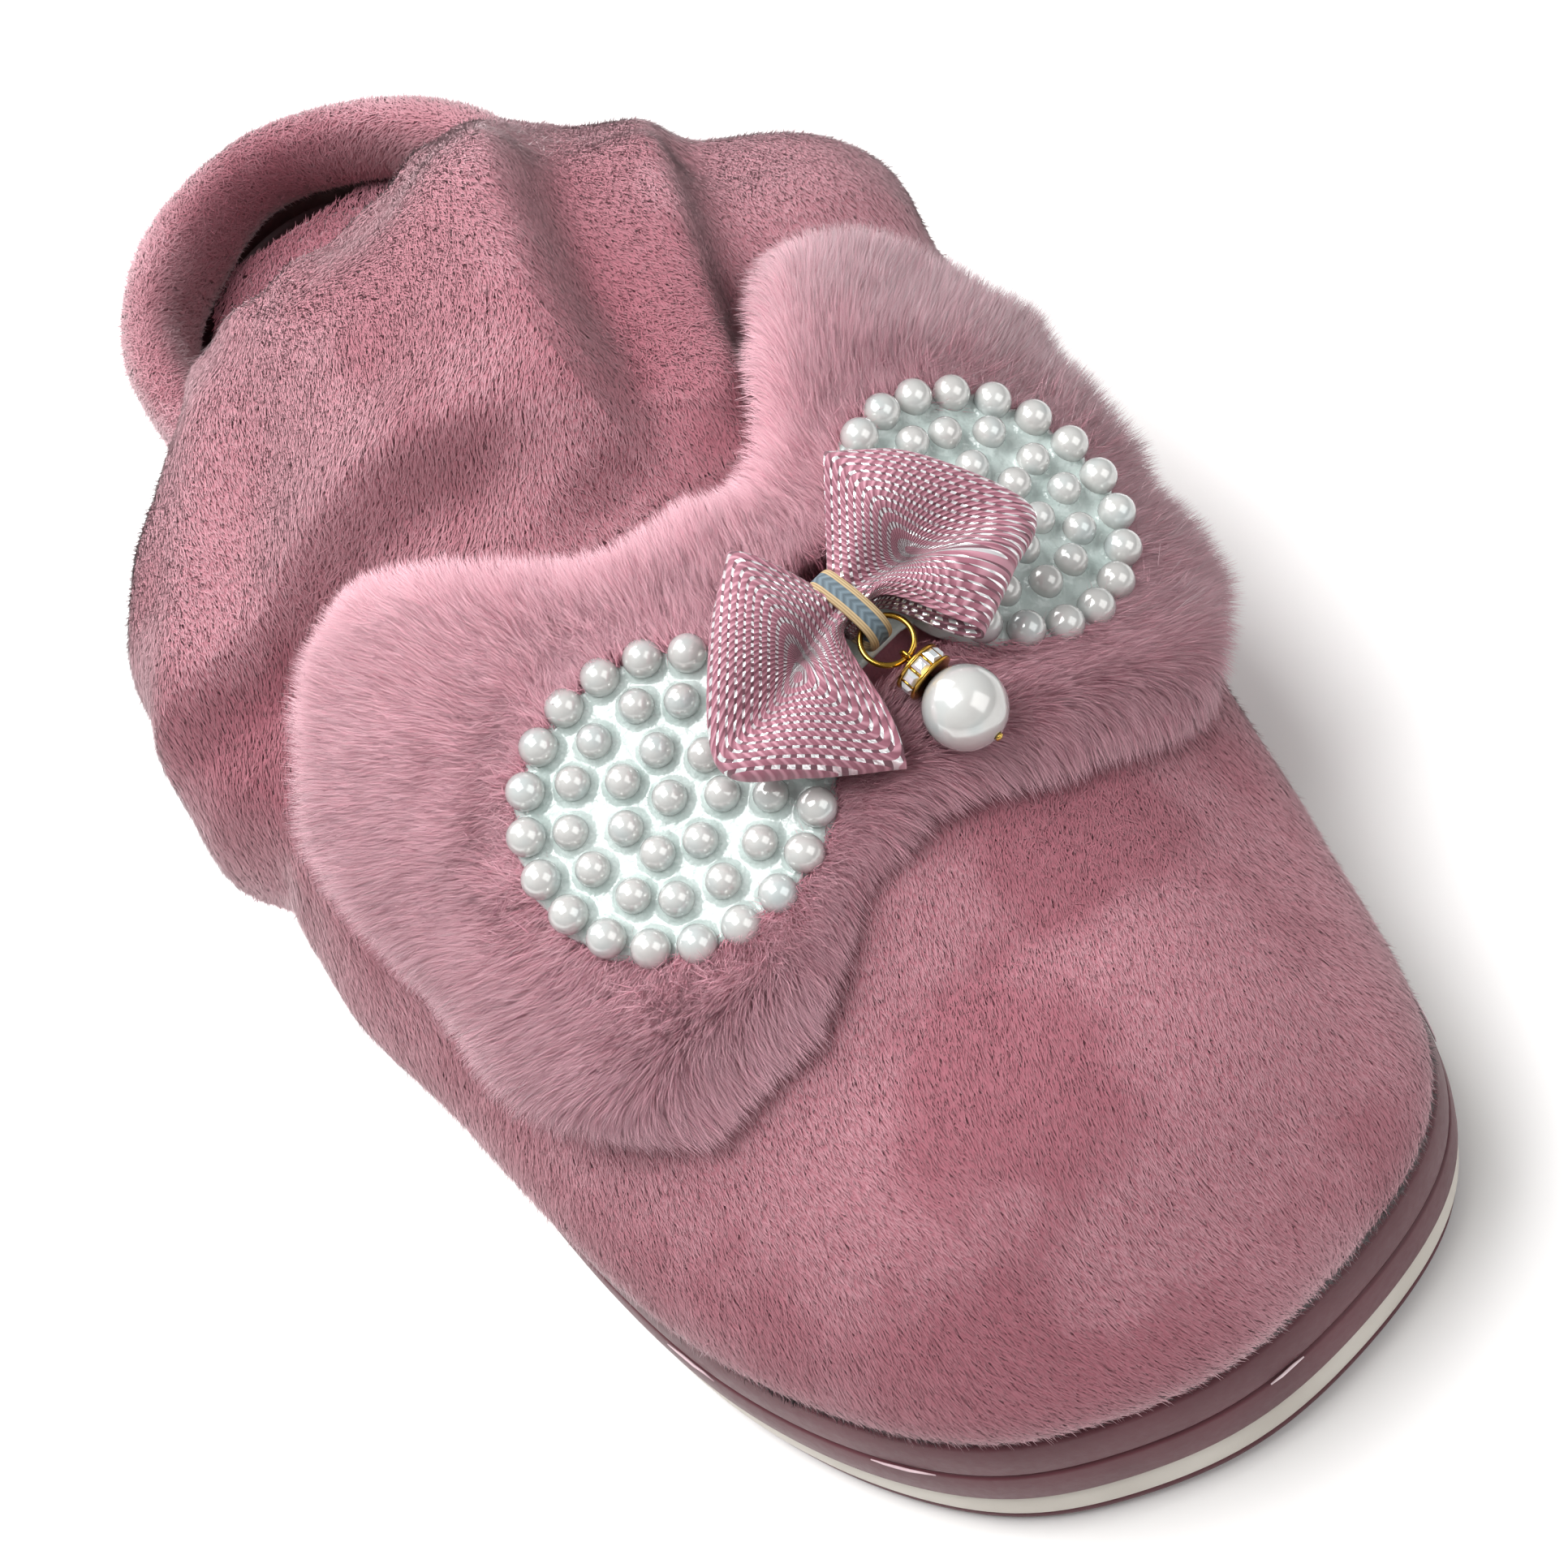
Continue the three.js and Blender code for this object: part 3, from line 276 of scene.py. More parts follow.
def nap_ground_finish(name, dark, light):
    """The cloth that plush and fur fibres stand on, paled by a painted sheen where it is seen at grazing angles."""
    material, tree, shader = new_material(name)
    place = object_place(tree)
    blotch = noise(tree, place, 45, 3, 0.6)
    base = ramp(tree, blotch, [(0.32, colour(dark)), (0.68, colour(light))])
    # Painted sheen: the colour pales towards DDB4BC at grazing angles, on top of the shader's own sheen.
    facing = add(tree, "ShaderNodeLayerWeight")
    facing.inputs["Blend"].default_value = 0.5
    grazing = maths(tree, "MULTIPLY", maths(tree, "POWER", facing.outputs["Facing"], 1.6), 0.5)
    plug(tree, blend_colours(tree, grazing, base, colour("DDB4BC")), shader.inputs["Base Color"])
    plug(tree, bump(tree, noise(tree, place, 1500, 3), 0.25), shader.inputs["Normal"])
    shader.inputs["Roughness"].default_value = 0.95
    shader.inputs["Sheen Weight"].default_value = 0.5
    return material


def fibre_finish(name, root, dark, light, tip_and_grazing_light, sheen=0.5):
    """Pile fibres: painted shade darkens them at the root, painted light pales them at the tip and at grazing angles,
    and their colour differs tuft by tuft.
    """
    material, tree, shader = new_material(name)
    shade, height = strand_place(tree)
    body = ramp(tree, shade, [(0.0, colour(dark)), (1.0, colour(light))])
    # Painted shade: the fibres darken to the root colour towards their base, deep in the pile.
    above_root = ramp(tree, height, [(0.0, (0, 0, 0, 1)), (0.55, (1, 1, 1, 1))])
    low = blend_colours(tree, above_root, colour(root), body)
    # Painted light: the tips pale as if catching the light, and the fibres pale at grazing angles like a sheen.
    tip = ramp(tree, height, [(0.55, (0, 0, 0, 1)), (1.0, (1, 1, 1, 1))])
    tip_light = maths(tree, "MULTIPLY", tip, tip_and_grazing_light[1])
    facing = add(tree, "ShaderNodeLayerWeight")
    facing.inputs["Blend"].default_value = 0.5
    plug(tree, outward_normal(tree), facing.inputs["Normal"])
    grazing = maths(tree, "POWER", facing.outputs["Facing"], 1.6)
    pale = maths(tree, "ADD", tip_light, maths(tree, "MULTIPLY", grazing, tip_and_grazing_light[2]), clamp=True)
    plug(tree, blend_colours(tree, pale, low, colour(tip_and_grazing_light[0])), shader.inputs["Base Color"])
    plug(tree, outward_normal(tree), shader.inputs["Normal"])
    shader.inputs["Roughness"].default_value = 0.75
    shader.inputs["Sheen Weight"].default_value = sheen
    shader.inputs["Sheen Roughness"].default_value = 0.4
    shader.inputs["Specular IOR Level"].default_value = 0.25
    return material


def milky_resin_finish():
    """Clear glue poured over a white backing, lumpy and glossy."""
    material, tree, shader = new_material("milky resin")
    place = object_place(tree)
    cloudy = noise(tree, place, 160, 2)
    milk = ramp(tree, cloudy, [(0.3, colour("B4C2BE")), (0.75, colour("CAD4D1"))])
    plug(tree, milk, shader.inputs["Base Color"])
    plug(tree, bump(tree, noise(tree, place, 420, 3), 0.7), shader.inputs["Normal"])
    rough = ramp(tree, noise(tree, place, 300), [(0.3, (0.08, 0.08, 0.08, 1)), (0.7, (0.25, 0.25, 0.25, 1))])
    plug(tree, rough, shader.inputs["Roughness"])
    shader.inputs["Subsurface Weight"].default_value = 0.25
    shader.inputs["Subsurface Radius"].default_value = (0.002, 0.002, 0.002)
    shader.inputs["Coat Weight"].default_value = 0.6
    shader.inputs["Coat Roughness"].default_value = 0.06
    return material


def pearl_finish():
    """Pearlised bead: soft grey body under a clear gloss, a little pink and green, with painted shade darkening it
    towards its outline in place of darker reflections.
    """
    material, tree, shader = new_material("pearl")
    place = object_place(tree)
    tint = noise(tree, place, 240, 1)
    base = ramp(tree, tint, [(0.3, colour("D2D0CD")), (0.5, colour("D6D6D3")), (0.72, colour("CAD2D1"))])
    # Painted shade: the body darkens to grey 8E8E8E towards the outline, standing in for darker reflections at the rim.
    edge = add(tree, "ShaderNodeLayerWeight")
    edge.inputs["Blend"].default_value = 0.5
    soft = maths(tree, "MULTIPLY", maths(tree, "POWER", edge.outputs["Facing"], 1.3), 0.85)
    plug(tree, blend_colours(tree, soft, base, colour("8E8E8E")), shader.inputs["Base Color"])
    rough = ramp(tree, noise(tree, place, 900), [(0.3, (0.14, 0.14, 0.14, 1)), (0.7, (0.2, 0.2, 0.2, 1))])
    plug(tree, rough, shader.inputs["Roughness"])
    shader.inputs["Metallic"].default_value = 0.25
    shader.inputs["Coat Weight"].default_value = 0.8
    shader.inputs["Coat Roughness"].default_value = 0.08
    return material


def gold_finish():
    material, tree, shader = new_material("polished gold plate")
    shade, fine = grain(tree, 1500)
    plating = ramp(tree, shade, [(0.3, colour("B98A2E")), (0.7, colour("D9B860"))])
    plug(tree, plating, shader.inputs["Base Color"])
    polish = ramp(tree, fine, [(0.3, (0.12, 0.12, 0.12, 1)), (0.7, (0.24, 0.24, 0.24, 1))])
    plug(tree, polish, shader.inputs["Roughness"])
    shader.inputs["Metallic"].default_value = 1.0
    return material


def crystal_finish():
    material, tree, shader = new_material("clear cut stone")
    shade, fine = grain(tree, 700)
    glass = ramp(tree, shade, [(0.3, colour("DDE6EC")), (0.7, colour("FFFFFF"))])
    plug(tree, glass, shader.inputs["Base Color"])
    plug(tree, bump(tree, fine, 0.03), shader.inputs["Normal"])
    shader.inputs["Roughness"].default_value = 0.04
    shader.inputs["Metallic"].default_value = 0.55
    shader.inputs["Coat Weight"].default_value = 1.0
    return material


CORDS = 42


def ribbon_finish():
    """Corded ribbon: twisted pink cords with silver thread showing in dashes between them, and painted shade in the
    grooves between the dashes.
    """
    material, tree, shader = new_material("corded ribbon with silver thread")
    across, along = strand_place(tree)
    lane = maths(tree, "MULTIPLY", across, float(CORDS))
    groove = maths(tree, "ABSOLUTE", maths(tree, "SUBTRACT", maths(tree, "FRACT", lane), 0.5))
    in_groove = maths(tree, "GREATER_THAN", groove, 0.3)
    stagger = maths(tree, "MULTIPLY", maths(tree, "FLOOR", maths(tree, "ADD", lane, 0.5)), 0.37)
    beat = maths(tree, "FRACT", maths(tree, "ADD", maths(tree, "MULTIPLY", along, 80.0), stagger))
    dash = maths(tree, "LESS_THAN", beat, 0.55)
    silver = maths(tree, "MULTIPLY", in_groove, dash)
    # Painted shade: the grooves darken to 6E4450 where no silver dash shows.
    dark_gap = maths(tree, "MULTIPLY", in_groove, maths(tree, "SUBTRACT", 1.0, dash))
    turns = maths(tree, "ADD", lane, maths(tree, "MULTIPLY", along, 96.0))
    twist = maths(tree, "SINE", maths(tree, "MULTIPLY", turns, 2 * math.pi))
    cord = ramp(tree, twist, [(0.0, colour("945A6A")), (1.0, colour("BC8694"))])
    groove_shaded = blend_colours(tree, dark_gap, cord, colour("6E4450"))
    plug(tree, blend_colours(tree, silver, groove_shaded, colour("F2F0F2")), shader.inputs["Base Color"])
    plug(tree, maths(tree, "MULTIPLY", silver, 0.5), shader.inputs["Metallic"])
    rough = maths(tree, "SUBTRACT", 0.62, maths(tree, "MULTIPLY", silver, 0.42))
    plug(tree, rough, shader.inputs["Roughness"])
    plug(tree, bump(tree, twist, 0.07), shader.inputs["Normal"])
    shader.inputs["Sheen Weight"].default_value = 0.2
    return material


def strap_finish():
    """Flat braid: tan edges and a blue-grey herringbone down the middle."""
    material, tree, shader = new_material("flat tan and blue grey braid")
    across, along = strand_place(tree)
    middle = maths(tree, "ABSOLUTE", maths(tree, "SUBTRACT", across, 0.5))
    chevron = maths(tree, "ADD", maths(tree, "MULTIPLY", along, 26.0), maths(tree, "MULTIPLY", middle, 3.0))
    stitch = maths(tree, "FRACT", chevron)
    blue = ramp(tree, stitch, [(0.0, colour("47545C")), (0.45, colour("6F808A")), (0.9, colour("52616A"))])
    lines = maths(tree, "FRACT", maths(tree, "MULTIPLY", across, 11.0))
    tan = ramp(tree, lines, [(0.0, colour("8A7350")), (0.5, colour("C4AB84")), (1.0, colour("9A8259"))])
    edge = maths(tree, "GREATER_THAN", middle, 0.24)
    plug(tree, blend_colours(tree, edge, blue, tan), shader.inputs["Base Color"])
    plug(tree, bump(tree, maths(tree, "ADD", stitch, lines), 0.1), shader.inputs["Normal"])
    shader.inputs["Roughness"].default_value = 0.7
    return material


# ---- meshes ----
def link_piece(name, mesh, body, material, replaced=()):
    piece = bpy.data.objects.new(name, mesh)
    bpy.context.scene.collection.objects.link(piece)
    if material is not None:
        mesh.materials.append(material)
    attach(piece, body)
    if replaced:
        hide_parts(*replaced)
    return piece


def new_mesh(name, points, faces):
    points = np.asarray(points, np.float64)
    faces = np.asarray(faces, np.int32)
    count, corners = faces.shape
    mesh = bpy.data.meshes.new(name)
    mesh.vertices.add(len(points))
    mesh.vertices.foreach_set("co", (points * MM).astype(np.float32).ravel())
    mesh.loops.add(count * corners)
    mesh.loops.foreach_set("vertex_index", faces.ravel())
    mesh.polygons.add(count)
    mesh.polygons.foreach_set("loop_start", np.arange(0, count * corners, corners, dtype=np.int32))
    mesh.polygons.foreach_set("use_smooth", np.ones(count, bool))
    mesh.update(calc_edges=True)
    return mesh


def tidy_mesh(mesh, weld=0.002):
    """Welds corners that meet and turns every face outwards."""
    work = bmesh.new()
    work.from_mesh(mesh)
    bmesh.ops.remove_doubles(work, verts=work.verts, dist=weld * MM)
    bmesh.ops.dissolve_degenerate(work, dist=1e-8, edges=work.edges)
    bmesh.ops.recalc_face_normals(work, faces=work.faces)
    work.to_mesh(mesh)
    work.free()
    return mesh


def grid_faces(rows, columns, start=0, close_rows=False, close_columns=False):
    """Quads of a rows x columns grid of points, stored row by row."""
    i = np.arange(rows if close_rows else rows - 1)
    j = np.arange(columns if close_columns else columns - 1)
    a, b = np.meshgrid(i, j, indexing="ij")
    nexti, nextj = (a + 1) % rows, (b + 1) % columns
    cell = [a * columns + b, nexti * columns + b, nexti * columns + nextj, a * columns + nextj]
    return np.stack([c.ravel() for c in cell], 1) + start


def shell_mesh(name, outer, inner, weld=0.002):
    """Closed skin between two grids of points."""
    rows, columns, _ = outer.shape
    size = rows * columns
    faces = [grid_faces(rows, columns), grid_faces(rows, columns, size)[:, ::-1]]
    border = np.concatenate(
        [
            np.arange(columns),
            np.arange(1, rows) * columns + columns - 1,
            (rows - 1) * columns + np.arange(columns - 2, -1, -1),
            np.arange(rows - 2, 0, -1) * columns,
        ]
    )
    after = np.roll(border, -1)
    faces.append(np.stack([border, after, after + size, border + size], 1))
    points = np.concatenate([outer.reshape(-1, 3), inner.reshape(-1, 3)])
    return tidy_mesh(new_mesh(name, points, np.concatenate(faces)), weld)


def tube_mesh(name, sections, closed=True, weld=0.0):
    """Skin through sections of equal count; an open run gets flat end caps."""
    sections = np.asarray(sections, float)
    rows, columns, _ = sections.shape
    mesh = new_mesh(name, sections.reshape(-1, 3), grid_faces(rows, columns, 0, closed, True))
    work = bmesh.new()
    work.from_mesh(mesh)
    if not closed:
        work.verts.ensure_lookup_table()
        for first in (0, (rows - 1) * columns):
            work.faces.new([work.verts[first + k] for k in range(columns)])
    if weld:
        bmesh.ops.remove_doubles(work, verts=work.verts, dist=weld * MM)
    bmesh.ops.recalc_face_normals(work, faces=work.faces)
    work.to_mesh(mesh)
    work.free()
    return mesh


# ---- shape of the upper, as in the frame ----
def mix(a, b, t):
    return a + (b - a) * t


def smooth(low, high, t):
    s = np.clip((t - low) / (high - low), 0, 1)
    return s * s * (3 - 2 * s)


def along_rows(rows, x):
    """Smooth curve through [x, value] rows, flat beyond both ends."""
    xs, ys = np.array(rows, float).T
    slope = np.empty(len(xs))
    slope[1:-1] = (ys[2:] - ys[:-2]) / (xs[2:] - xs[:-2])
    slope[0] = (ys[1] - ys[0]) / (xs[1] - xs[0])
    slope[-1] = (ys[-1] - ys[-2]) / (xs[-1] - xs[-2])
    x = np.clip(x, xs[0], xs[-1])
    i = np.clip(np.searchsorted(xs, x, side="right") - 1, 0, len(xs) - 2)
    h = xs[i + 1] - xs[i]
    t = (x - xs[i]) / h
    return (
        ys[i] * (2 * t**3 - 3 * t**2 + 1)
        + h * slope[i] * (t**3 - 2 * t**2 + t)
        + ys[i + 1] * (3 * t**2 - 2 * t**3)
        + h * slope[i + 1] * (t**3 - t**2)
    )


TREAD_TOP = 2.4
MIDSOLE_BOTTOM, MIDSOLE_TOP = 2.7, 8.9
DECK = 9.2
BINDING_BOTTOM = 15.7
BAND_TOP = 21.9
UPPER_INSET = 3.7
PUFF_BOTTOM = 22.4
TOE_Y = -85.0
SEAM_Y = -18.0
TOPLINE_Y, INNER_END, OUTER_END = 62.0, 94.0, 75.0
BOW_X, BOW_Y, BOW_YAW = 15.8, -46.5, math.radians(12)
TOE_HEIGHT, BOW_HEIGHT, INSTEP_HEIGHT, TOPLINE_HEIGHT = 48.0, 58.0, 77.0, 65.0

HEIGHT_ROWS = [
    (TOE_Y, TOE_HEIGHT),
    (BOW_Y, BOW_HEIGHT),
    (mix(BOW_Y, TOPLINE_Y, 0.29), mix(BOW_HEIGHT, INSTEP_HEIGHT, 0.68)),
    (mix(BOW_Y, TOPLINE_Y, 0.55), INSTEP_HEIGHT),
    (mix(BOW_Y, TOPLINE_Y, 0.78), INSTEP_HEIGHT - 1),
    (TOPLINE_Y, TOPLINE_HEIGHT),
]
RIDGE_ROWS = [(TOE_Y, 2), (BOW_Y, 9), (SEAM_Y, 9), (mix(SEAM_Y, TOPLINE_Y, 0.65), 6), (TOPLINE_Y, 0)]
TOE_PUFF = 2.5


def puff_rows(puff, end, shares):
    rows = [(TOE_Y - 20, TOE_PUFF), (TOE_Y, mix(TOE_PUFF, puff, 0.08))]
    rows += [(mix(BOW_Y, end, place), mix(TOE_PUFF, puff, share)) for place, share in shares[:-1]]
    place, share = shares[-1]
    return rows + [(mix(BOW_Y, end, place), puff * share), (end, TOE_PUFF)]


INNER_PUFF_ROWS = puff_rows(26.0, INNER_END, [(0, 0.3), (0.26, 0.62), (0.55, 1), (0.78, 0.55)])
OUTER_PUFF_ROWS = puff_rows(17.0, OUTER_END, [(0, 0.25), (0.2, 0.72), (0.65, 1), (0.88, 0.55)])


def sole_ring(count):
    """The sole's outline, evenly and smoothly resampled from the tread's corners."""
    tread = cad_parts["tread"]
    points = np.array([tread.matrix_world @ v.co for v in tread.data.vertices]) / MM
    low = points[points[:, 2] < points[:, 2].min() + 0.1][:, :2]
    ring = np.unique(np.round(low, 3), axis=0)
    ring = ring[np.argsort(np.arctan2(ring[:, 1], ring[:, 0]))]
    spectrum = np.fft.fft(ring[:, 0] + 1j * ring[:, 1])
    half = len(ring) // 2
    wide = np.zeros(count, complex)
    wide[:half] = spectrum[:half]
    wide[-half:] = spectrum[-half:]
    dense = np.fft.ifft(wide) * count / len(ring)
    return np.stack([dense.real, dense.imag], 1)


def offset_ring(ring, inset):
    run = np.roll(ring, -1, 0) - np.roll(ring, 1, 0)
    run /= np.linalg.norm(run, axis=1)[:, None]
    return ring + np.stack([-run[:, 1], run[:, 0]], 1) * inset


TREAD_INSET = 1.0
RING = offset_ring(sole_ring(384), -TREAD_INSET)


def side_line(side):
    near = RING[RING[:, 0] * side > 0]
    near = near[np.argsort(near[:, 1])]
    return near[:, 1], np.abs(near[:, 0])


SIDE_LINES = {1: side_line(1), -1: side_line(-1)}


def edge_x(y, side):
    ys, xs = SIDE_LINES[side]
    return np.interp(y, ys, xs)


def rib(foot_x, foot_y, crest_x, crest_y, crest_z, puff, phi, lift):
    reach = np.hypot(foot_x - crest_x, foot_y - crest_y)
    width = reach - UPPER_INSET + lift
    z = DECK + (crest_z + lift - DECK) * np.sin(phi)
    up = np.clip((z - PUFF_BOTTOM) / (crest_z + lift - PUFF_BOTTOM), 0, 1)
    out = width * np.clip(np.cos(phi), 0, 1) ** 0.71 + puff * np.sin(np.pi * up**0.6)
    x = crest_x + (foot_x - crest_x) / reach * out
    y = crest_y + (foot_y - crest_y) / reach * out
    return np.stack(np.broadcast_arrays(x, y, z), -1)


def side_rib(crest_y, foot_y, side, phi, lift):
    rows = INNER_PUFF_ROWS if side > 0 else OUTER_PUFF_ROWS
    crest_x = along_rows(RIDGE_ROWS, crest_y)
    foot_x = side * edge_x(foot_y, side)
    height = along_rows(HEIGHT_ROWS, crest_y)
    point = rib(foot_x, 0.0, crest_x, 0.0, height, along_rows(rows, foot_y), phi, lift)
    point[..., 1] = mix(crest_y, foot_y, np.clip(np.cos(phi), 0, 1) ** 1.2)
    return point


def upper_point(y, side, phi, lift):
    """Point of the upper at y, side, climb and lift off the plush's face."""
    y, phi, lift = np.broadcast_arrays(*(np.asarray(v, float) for v in (y, phi, lift)))
    end = INNER_END if side > 0 else OUTER_END
    spread = mix(TOPLINE_Y - SEAM_Y, end - SEAM_Y, np.clip(np.cos(phi), 0, 1) ** 1.2)
    k = np.where(y > SEAM_Y, (y - SEAM_Y) / spread, 0)
    crest = np.where(y > SEAM_Y, mix(SEAM_Y, TOPLINE_Y, k), y)
    foot = np.where(y > SEAM_Y, mix(SEAM_Y, end, k), y)
    return side_rib(crest, foot, side, phi, lift)


def climb_at(x, y, lift):
    side = 1 if x >= upper_point(y, 1, math.pi / 2, lift)[0] else -1
    low, high = 0.6, math.pi / 2
    for _ in range(40):
        phi = (low + high) / 2
        if side * (upper_point(y, side, phi, lift)[0] - x) > 0:
            low = phi
        else:
            high = phi
    return side, (low + high) / 2


def unit(v):
    return v / np.maximum(np.linalg.norm(v, axis=-1, keepdims=True), 1e-9)


def seat_frame(x, y, lift):
    """Right, back and up directions and the origin of a frame that stands on the upper."""

    def spot(at_x, at_y):
        side, phi = climb_at(at_x, at_y, lift)
        return np.array([at_x, at_y, upper_point(at_y, side, phi, lift)[2]])

    step = 9
    across = spot(x + step, y) - spot(x - step, y)
    back = spot(x, y + step) - spot(x, y - step)
    up = unit(np.cross(across, back))
    right = np.array([math.cos(BOW_YAW), math.sin(BOW_YAW), 0])
    rear = unit(np.cross(up, right))
    return np.array([np.cross(rear, up), rear, up]), spot(x, y)


WAIST_AXES, WAIST_ORIGIN = seat_frame(BOW_X, BOW_Y, 8.0)


def layout(right, forward, up):
    """World points from distances to the right, forwards and up from the bow's waist."""
    right, forward, up = np.broadcast_arrays(*(np.asarray(v, float) for v in (right, forward, up)))
    local = np.stack([right, -forward, up], -1)
    return local @ WAIST_AXES + WAIST_ORIGIN


WING_BACK, WING_REACH = 2.7, {-1: 28.0, 1: 23.0}
WING_RADIUS = 19.2


def wing_frame(side):
    spot = layout(side * WING_REACH[side], -WING_BACK, 0)
    return seat_frame(spot[0], spot[1], 4.6)


WINGS = {side: wing_frame(side) for side in (-1, 1)}


# ---- random fields ----
def mottle(points, size, seed):
    """Smooth random field from 0 to 1, with features about size across."""
    cells = 24
    lattice = np.random.default_rng(seed).random((cells,) * 3)
    q = np.asarray(points) / size
    i = np.floor(q).astype(int)
    t = q - i
    t = t * t * (3 - 2 * t)
    total = 0
    for corner in itertools.product((0, 1), repeat=3):
        weight = np.prod(np.where(np.array(corner), t, 1 - t), axis=-1)
        j = (i + np.array(corner)) % cells
        total = total + weight * lattice[j[..., 0], j[..., 1], j[..., 2]]
    return total


# ---- pile ----
def strew(grid, count, rng):
    """Random roots, evenly by area, on a grid of points: places, normals, grid parameters."""
    a, b = grid[:-1, :-1], grid[1:, :-1]
    c, d = grid[1:, 1:], grid[:-1, 1:]
    normal = np.cross(c - a, d - b)
    area = np.linalg.norm(normal, axis=-1) / 2
    share = np.cumsum(area.ravel())
    pick = np.searchsorted(share, rng.random(count) * share[-1])
    i, j = np.unravel_index(np.minimum(pick, area.size - 1), area.shape)
    s, t = rng.random((2, count))
    place = (
        a[i, j] * ((1 - s) * (1 - t))[:, None]
        + b[i, j] * (s * (1 - t))[:, None]
        + c[i, j] * (s * t)[:, None]
        + d[i, j] * ((1 - s) * t)[:, None]
    )
    return place, unit(normal[i, j]), (i + s) / (grid.shape[0] - 1), (j + t) / (grid.shape[1] - 1)


def set_fibre_map(mesh, shade, heights, corners):
    """Maps each fibre to its shade across and its height along."""
    layer = mesh.uv_layers.new(name="OFBake")
    count = len(shade)
    across = np.repeat(np.clip(shade, 0.004, 0.996), len(corners))
    along = np.tile(np.asarray(heights, float)[list(corners)], count)
    layer.data.foreach_set("uv", np.stack([across, along], 1).astype(np.float32).ravel())


def set_normals(mesh, normals):
    mesh.normals_split_custom_set_from_vertices(normals.astype(np.float32).tolist())


def blade_mesh(name, roots, normals, lay, length, width, shade, rise):
    """Short fibres, one narrow triangle each, laid over along the lay direction."""
    direction = unit(normals * rise[:, None] + lay)
    side = unit(np.cross(direction, normals)) * (width / 2)[:, None]
    tips = roots + direction * length[:, None]
    points = np.stack([roots - side, roots + side, tips], 1).reshape(-1, 3)
    faces = np.arange(len(points)).reshape(-1, 3)
    mesh = new_mesh(name, points, faces)
    set_fibre_map(mesh, shade, (0.02, 0.02, 0.98), (0, 1, 2))
    set_normals(mesh, np.repeat(unit(normals + 0.25 * lay), 3, 0))
    return mesh


def strand_mesh(name, roots, middles, tips, side, width, shade, normals):
    """Long fibres, each a tapering ribbon of three triangles."""
    low = side * (width / 2)[:, None]
    high = low * 0.7
    points = np.stack([roots - low, roots + low, middles - high, middles + high, tips], 1)
    first = np.arange(len(roots))[:, None] * 5
    corners = (0, 1, 3, 0, 3, 2, 2, 3, 4)
    faces = (first + np.array(corners)).reshape(-1, 3)
    mesh = new_mesh(name, points.reshape(-1, 3), faces)
    set_fibre_map(mesh, shade, (0.02, 0.02, 0.5, 0.5, 0.98), corners)
    set_normals(mesh, np.repeat(unit(normals), 5, 0))
    return mesh


def comb(normals, heading, rng, stray):
    """Directions along the surface that follow heading, with some stray."""
    wild = heading + rng.normal(0, stray, heading.shape)
    flat = wild - normals * np.sum(wild * normals, -1, keepdims=True)
    return unit(flat)


PLUSH_LENGTH = 1.6


def plush_pile(name, grid, count, body, material, heading, seed, outward=1, painted_fold_shade=None):
    """Short nap over a grid of points, combed along heading and shaded in brushed patches."""
    rng = np.random.default_rng(seed)
    roots, normals, _, _ = strew(grid, count, rng)
    normals = normals * outward
    swirl = np.stack([mottle(roots, 26, 20 + k) - 0.5 for k in (1, 2, 3)], -1)
    lay = comb(normals, np.asarray(heading, float) + 1.6 * swirl, rng, 0.22)
    patch = 0.62 * mottle(roots, 24, 24) + 0.26 * mottle(roots, 9, 25) + 0.12 * mottle(roots, 3.5, 26)
    patch = smooth(0.36, 0.6, patch)
    fine = mottle(roots, 1.6, seed + 6)
    shade = np.clip(0.08 + 0.74 * patch + 0.14 * (fine - 0.5) + rng.normal(0, 0.05, count), 0, 1)
    upright = rng.random(count) < 0.06
    rise = np.where(upright, 0.9, rng.normal(0.05, 0.1, count))
    # Painted shade: when given, a term that darkens fibres in fold valleys and lightens them on fold crests.
    if painted_fold_shade is not None:
        shade = np.clip(shade + painted_fold_shade(roots), 0, 1)
    lengths = PLUSH_LENGTH * (0.7 + 0.5 * rng.random(count))
    widths = 0.18 + 0.08 * rng.random(count)
    roots = roots + normals * (0.1 + 0.4 * rng.random(count) * (1 - 0.8 * upright))[:, None]
    mesh = blade_mesh(name, roots, normals, lay, lengths, widths, shade, rise)
    return link_piece(name, mesh, body, material)


# ---- sole unit ----
def swept_ring(name, profile):
    """Closed profile of [inset, height] corners swept round the whole sole."""
    rings = [offset_ring(RING, inset) for inset, _ in profile]
    sections = np.stack(
        [np.column_stack([r, np.full(len(r), z)]) for r, (_, z) in zip(rings, profile)], 1
    )
    return tube_mesh(name, sections)


def slab_mesh(name, profile, extra=None):
    """Open profile of [inset, height] corners from the bottom face's rim to the top face's."""
    rings = np.stack(
        [np.column_stack([offset_ring(RING, inset), np.full(len(RING), z)]) for inset, z in profile]
    )
    mesh = tube_mesh(name, rings, closed=False)
    if extra is not None:
        work = bmesh.new()
        work.from_mesh(mesh)
        work.from_mesh(extra)
        work.to_mesh(mesh)
        work.free()
        bpy.data.meshes.remove(extra)
    return mesh


def rounded(low_inset, high_inset, bottom, top, depth, radius):
    """Profile of a band whose outer face runs between two insets, with eased edges."""
    r = radius
    lean = high_inset - low_inset
    return [
        (low_inset + depth, bottom),
        (low_inset + r, bottom),
        (low_inset + r * 0.3, bottom + r * 0.3),
        (low_inset + lean * 0.15, bottom + r),
        (low_inset + lean * 0.5 - 0.12, (bottom + top) / 2),
        (low_inset + lean * 0.85, top - r),
        (high_inset + r * 0.3, top - r * 0.3),
        (high_inset + r, top),
        (high_inset + depth, top),
    ]


